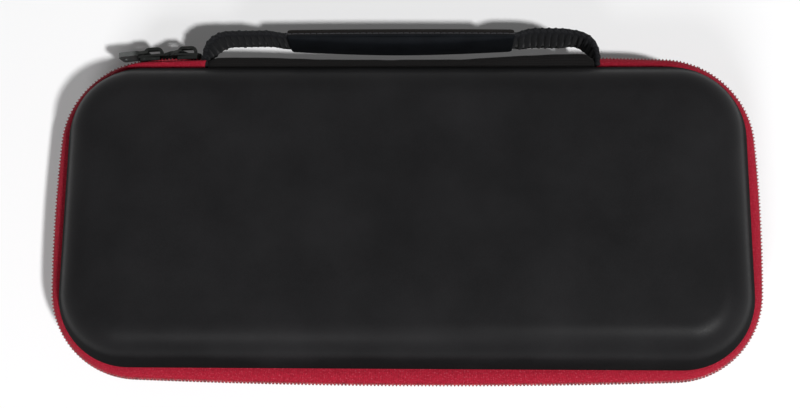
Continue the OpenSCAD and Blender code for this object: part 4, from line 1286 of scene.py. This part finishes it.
def cardSheet(cx, cy, halfW, halfD, low, high):
    # rings of a flat cloth from its lower edge over its rim to its middle
    def level(inset, r, z, t=0.0):
        ring = roundedRing(halfW - inset, halfD - inset, r, 4, 8, 4)
        return [place(cx + x * (1 - t), cy + y * (1 - t), flapTop + z) for x, y in ring]
    rims = ((0.9, low), (0.15, low + 0.08), (0, (low + high) / 2), (0.15, high - 0.12), (0.7, high - 0.02))
    rings = [level(inset, cards["cornerR"] - inset, z) for inset, z in rims]
    for t in (1 / 3, 2 / 3, 1.0):   # a pocket stands a little hollow over what it holds
        rings.append(level(0.7, cards["cornerR"] - 0.7, high + cards["puff"] * sin(pi / 2 * t), t))
    return rings


def makeCards():
    pitchX = (2 * flapX - cards["w"] - 2 * cards["edgeX"]) / (cards["columns"] - 1)
    pitchY = 2 * flapY - cards["d"] - 2 * cards["edgeY"]
    points, faces, rows = [], [], []
    w, d, t, hem, inset = cards["w"] / 2, cards["d"] / 2, cards["t"], cards["hem"], cards["stitchIn"]
    for column in range(cards["columns"]):
        for row in (0, 1):
            cx, cy = (column - (cards["columns"] - 1) / 2) * pitchX, (row - 0.5) * pitchY
            for sheet in (cardSheet(cx, cy, w, d, 0.03, t - 0.35),
                          cardSheet(cx, cy + d - hem / 2, w, hem / 2, 0.1, t - 0.04)):
                base, size = len(points), len(sheet[0])
                points += [p for ring in sheet for p in ring]
                for i in range(len(sheet) - 1):
                    for j in range(size):
                        k, m = base + i * size + j, base + i * size + (j + 1) % size
                        faces.append((k, m, m + size, k + size))
                faces.append(tuple(base + j for j in range(size))[::-1])
            z = flapTop + t - 0.3
            x, y = w - inset, d - inset
            rows.append([place(cx + u, cy + v, z) for u, v in ((-x, y), (-x, -y), (x, -y), (x, y))])
            rows.append([place(cx + x, cy + d - hem + 0.5, z + 0.28) for x in (1 - w, w - 1)])
    mesh = bpy.data.meshes.new("cardPockets")
    mesh.from_pydata(points, [], faces)
    tidyMesh(mesh, weld)
    dress(addObject("cardPockets", mesh), finish["netCloth"], "base", ["card_pockets"])
    stitchRow("cardStitches", rows, above, "base", pitch=2.6, length=1.9)


makeFlap()
makeCards()
print("stage: card flap")

# Pocket inside the lid
pocket = {"z": 10.4, "borderW": 8, "borderT": 1.2, "rest": 0.6, "netT": 0.36, "netIn": 3.0, "cell": 3.4, "yarn": 0.17,
          "netLean": 0.62, "netWave": 0.32, "zipLen": 196, "zipInset": 22, "slot": 6.8, "ends": 4, "tapeW": 9,
          "tapeT": 0.6, "coilT": 1.35, "coilW": 1.55, "sliderLen": 9, "teethPitch": 1.15, "wire": 0.2, "slant": 0.25,
          "core": 0.3}
borderIn = wallIn + lean(pocket["z"] + pocket["borderT"]) + pocket["rest"]
netZ = pocket["z"] + pocket["borderT"]
pocketZipY = -(shellY - case["wall"]) + pocket["zipInset"]


def makeBorder():
    low, high, outer, inner = pocket["z"], netZ, borderIn, borderIn + pocket["borderW"]
    middle = (outer + inner) / 2
    section = [(outer, high - 0.3), (outer + 0.05, low + 0.5), (outer + 0.5, low + 0.14), (outer + 1.4, low + 0.20),
               (outer + 2.4, low + 0.05), (middle, low), (inner - 2.4, low + 0.05), (inner - 1.4, low + 0.20),
               (inner - 0.5, low + 0.14), (inner - 0.05, low + 0.5), (inner - 0.05, high - 0.25),
               (inner - 0.4, high - 0.04), (middle, high - 0.02), (outer + 0.4, high - 0.04)]
    trimRing("pocketBorder", section, outline, "lid", "pocket_border")
    rows = [ringPoints(outline(depth), low + 0.16) for depth in (outer + 1.4, inner - 1.4)]
    stitchRow("borderStitches", rows, below, "lid", pitch=binding["stitchPitch"], loop=True)


def makeNet():
    edge = borderIn + pocket["netIn"]
    outer = outline(edge)
    half, slotHalf = pocket["zipLen"] / 2, pocket["slot"] / 2
    slot = [(x, pocketZipY + y) for x, y in roundedRing(half, slotHalf, slotHalf - 0.1)]
    levels = []
    for z in (netZ + 0.06, netZ + 0.06 + pocket["netT"]):
        rows = []
        for i in range(13):
            t = i / 12
            belly = 0.10 * sin(pi * t)
            rows.append([place(a[0] + (b[0] - a[0]) * t, a[1] + (b[1] - a[1]) * t, z + belly)
                         for a, b in zip(outer, slot)])
        levels.append(rows)
    sheet = loft("pocketNet", levels[0] + levels[1][::-1], runLoop=True)
    dress(sheet, finish["netCloth"], "lid", ["pocket_net"])
    netX, netY, netR = shellX - edge, shellY - edge, case["cornerR"] - edge

    def hasYarn(x, y):
        # inside the net's rounded outline and clear of the zip's slot
        inX, inY = max(0.0, abs(x) - netX + netR), max(0.0, abs(y) - netY + netR)
        inside = abs(x) < netX - 0.3 and abs(y) < netY - 0.3 and hypot(inX, inY) < netR - 0.3
        return inside and not (abs(x) < half + 0.2 and abs(y - pocketZipY) < slotHalf + 0.2)
    lines, cell, lean = [], pocket["cell"], pocket["netLean"]
    count = ceil((netX + netY) / cell) + 1
    for turn in (1, -1):   # two sets of yarns that cross and knot, each a little wavy
        for i in range(-count, count + 1):
            run = []
            for k in range(ceil(4 * netY / cell) + 1):
                y, wave = -netY + cell * k / 2, turn * (1 if k % 2 else -1)
                x = i * cell + turn * (y + netY) * lean - turn * netY * lean + pocket["netWave"] * wave
                if hasYarn(x, y):
                    run.append(place(x, y, netZ - 0.02 + 0.05 * wave))
                elif run:
                    lines.append(run)
                    run = []
            if run:
                lines.append(run)
    lines = [line for line in lines if len(line) > 1]
    strands = bakeTree(pathObject("netPath", lines), trees["net"], "pocketYarns", finish["net"],
                       {"Yarn": pocket["yarn"] * mm})
    dress(strands, None, "lid", ["pocket_net"])


def makePocketZip():
    long, low, high, width = pocket["zipLen"] + 2 * pocket["ends"], netZ - pocket["tapeT"], netZ, pocket["tapeW"]
    rows = []
    for label, near, far in (("Front", -width, -1.0), ("Back", 1.0, width)):
        middle = (near + far) / 2
        section = [(near, low + 0.25), (near + 0.3, low + 0.05), (near + 2, low + 0.12), (middle, low + 0.03),
                   (far - 2, low + 0.12), (far - 0.3, low + 0.05), (far, low + 0.25), (far, high - 0.12),
                   (far - 0.3, high - 0.04), (middle, high - 0.04), (near + 0.3, high - 0.04), (near, high - 0.12)]
        rings = [[place(-long / 2 + long * i / 120, pocketZipY + y, z + 0.03 * sin(i * 0.7)) for y, z in section]
                 for i in range(121)]
        dress(loft("pocketTape" + label, rings), finish["trim"], "lid", ["pocket_zip_tape"])
        for y in (near + 2, far - 2):
            rows.append([place(x, pocketZipY + y, low + 0.1) for x in (2 - long / 2, long / 2 - 2)])
    stitchRow("pocketTapeStitches", rows, below, "lid")
    coilZ = low - 0.05 - pocket["coilT"] / 2
    sliderX = -pocket["zipLen"] / 2 + pocket["sliderLen"] / 2 + 2
    start = sliderX - pocket["sliderLen"] / 2 + zipper["postBack"] + zipper["postLen"] / 2 + strap["rest"] + 0.3
    for label, side, later in (("Front", -1, 0), ("Back", 1, pocket["teethPitch"] / 2)):
        y = pocketZipY + side * (pocket["coilW"] / 2 + 0.02)
        line = [place(start + later, y, coilZ), place(pocket["zipLen"] / 2 - 0.3, y, coilZ)]
        coil = bakeCoil("pocketCoil" + label, line, pocket, pocket["coilW"], pocket["coilT"], finish["blackCoil"])
        dress(coil, None, "lid", ["pocket_zip_coil"])


makeBorder()
makeNet()
makePocketZip()
softenedCopy("pocket_slider", "pocketSlider", 0.12, finish["slider"], "pocket_slider")
softenedCopy("pocket_pull", "pocketPull", 0.16, finish["pull"], "pocket_pull")
print("stage: pocket in the lid")
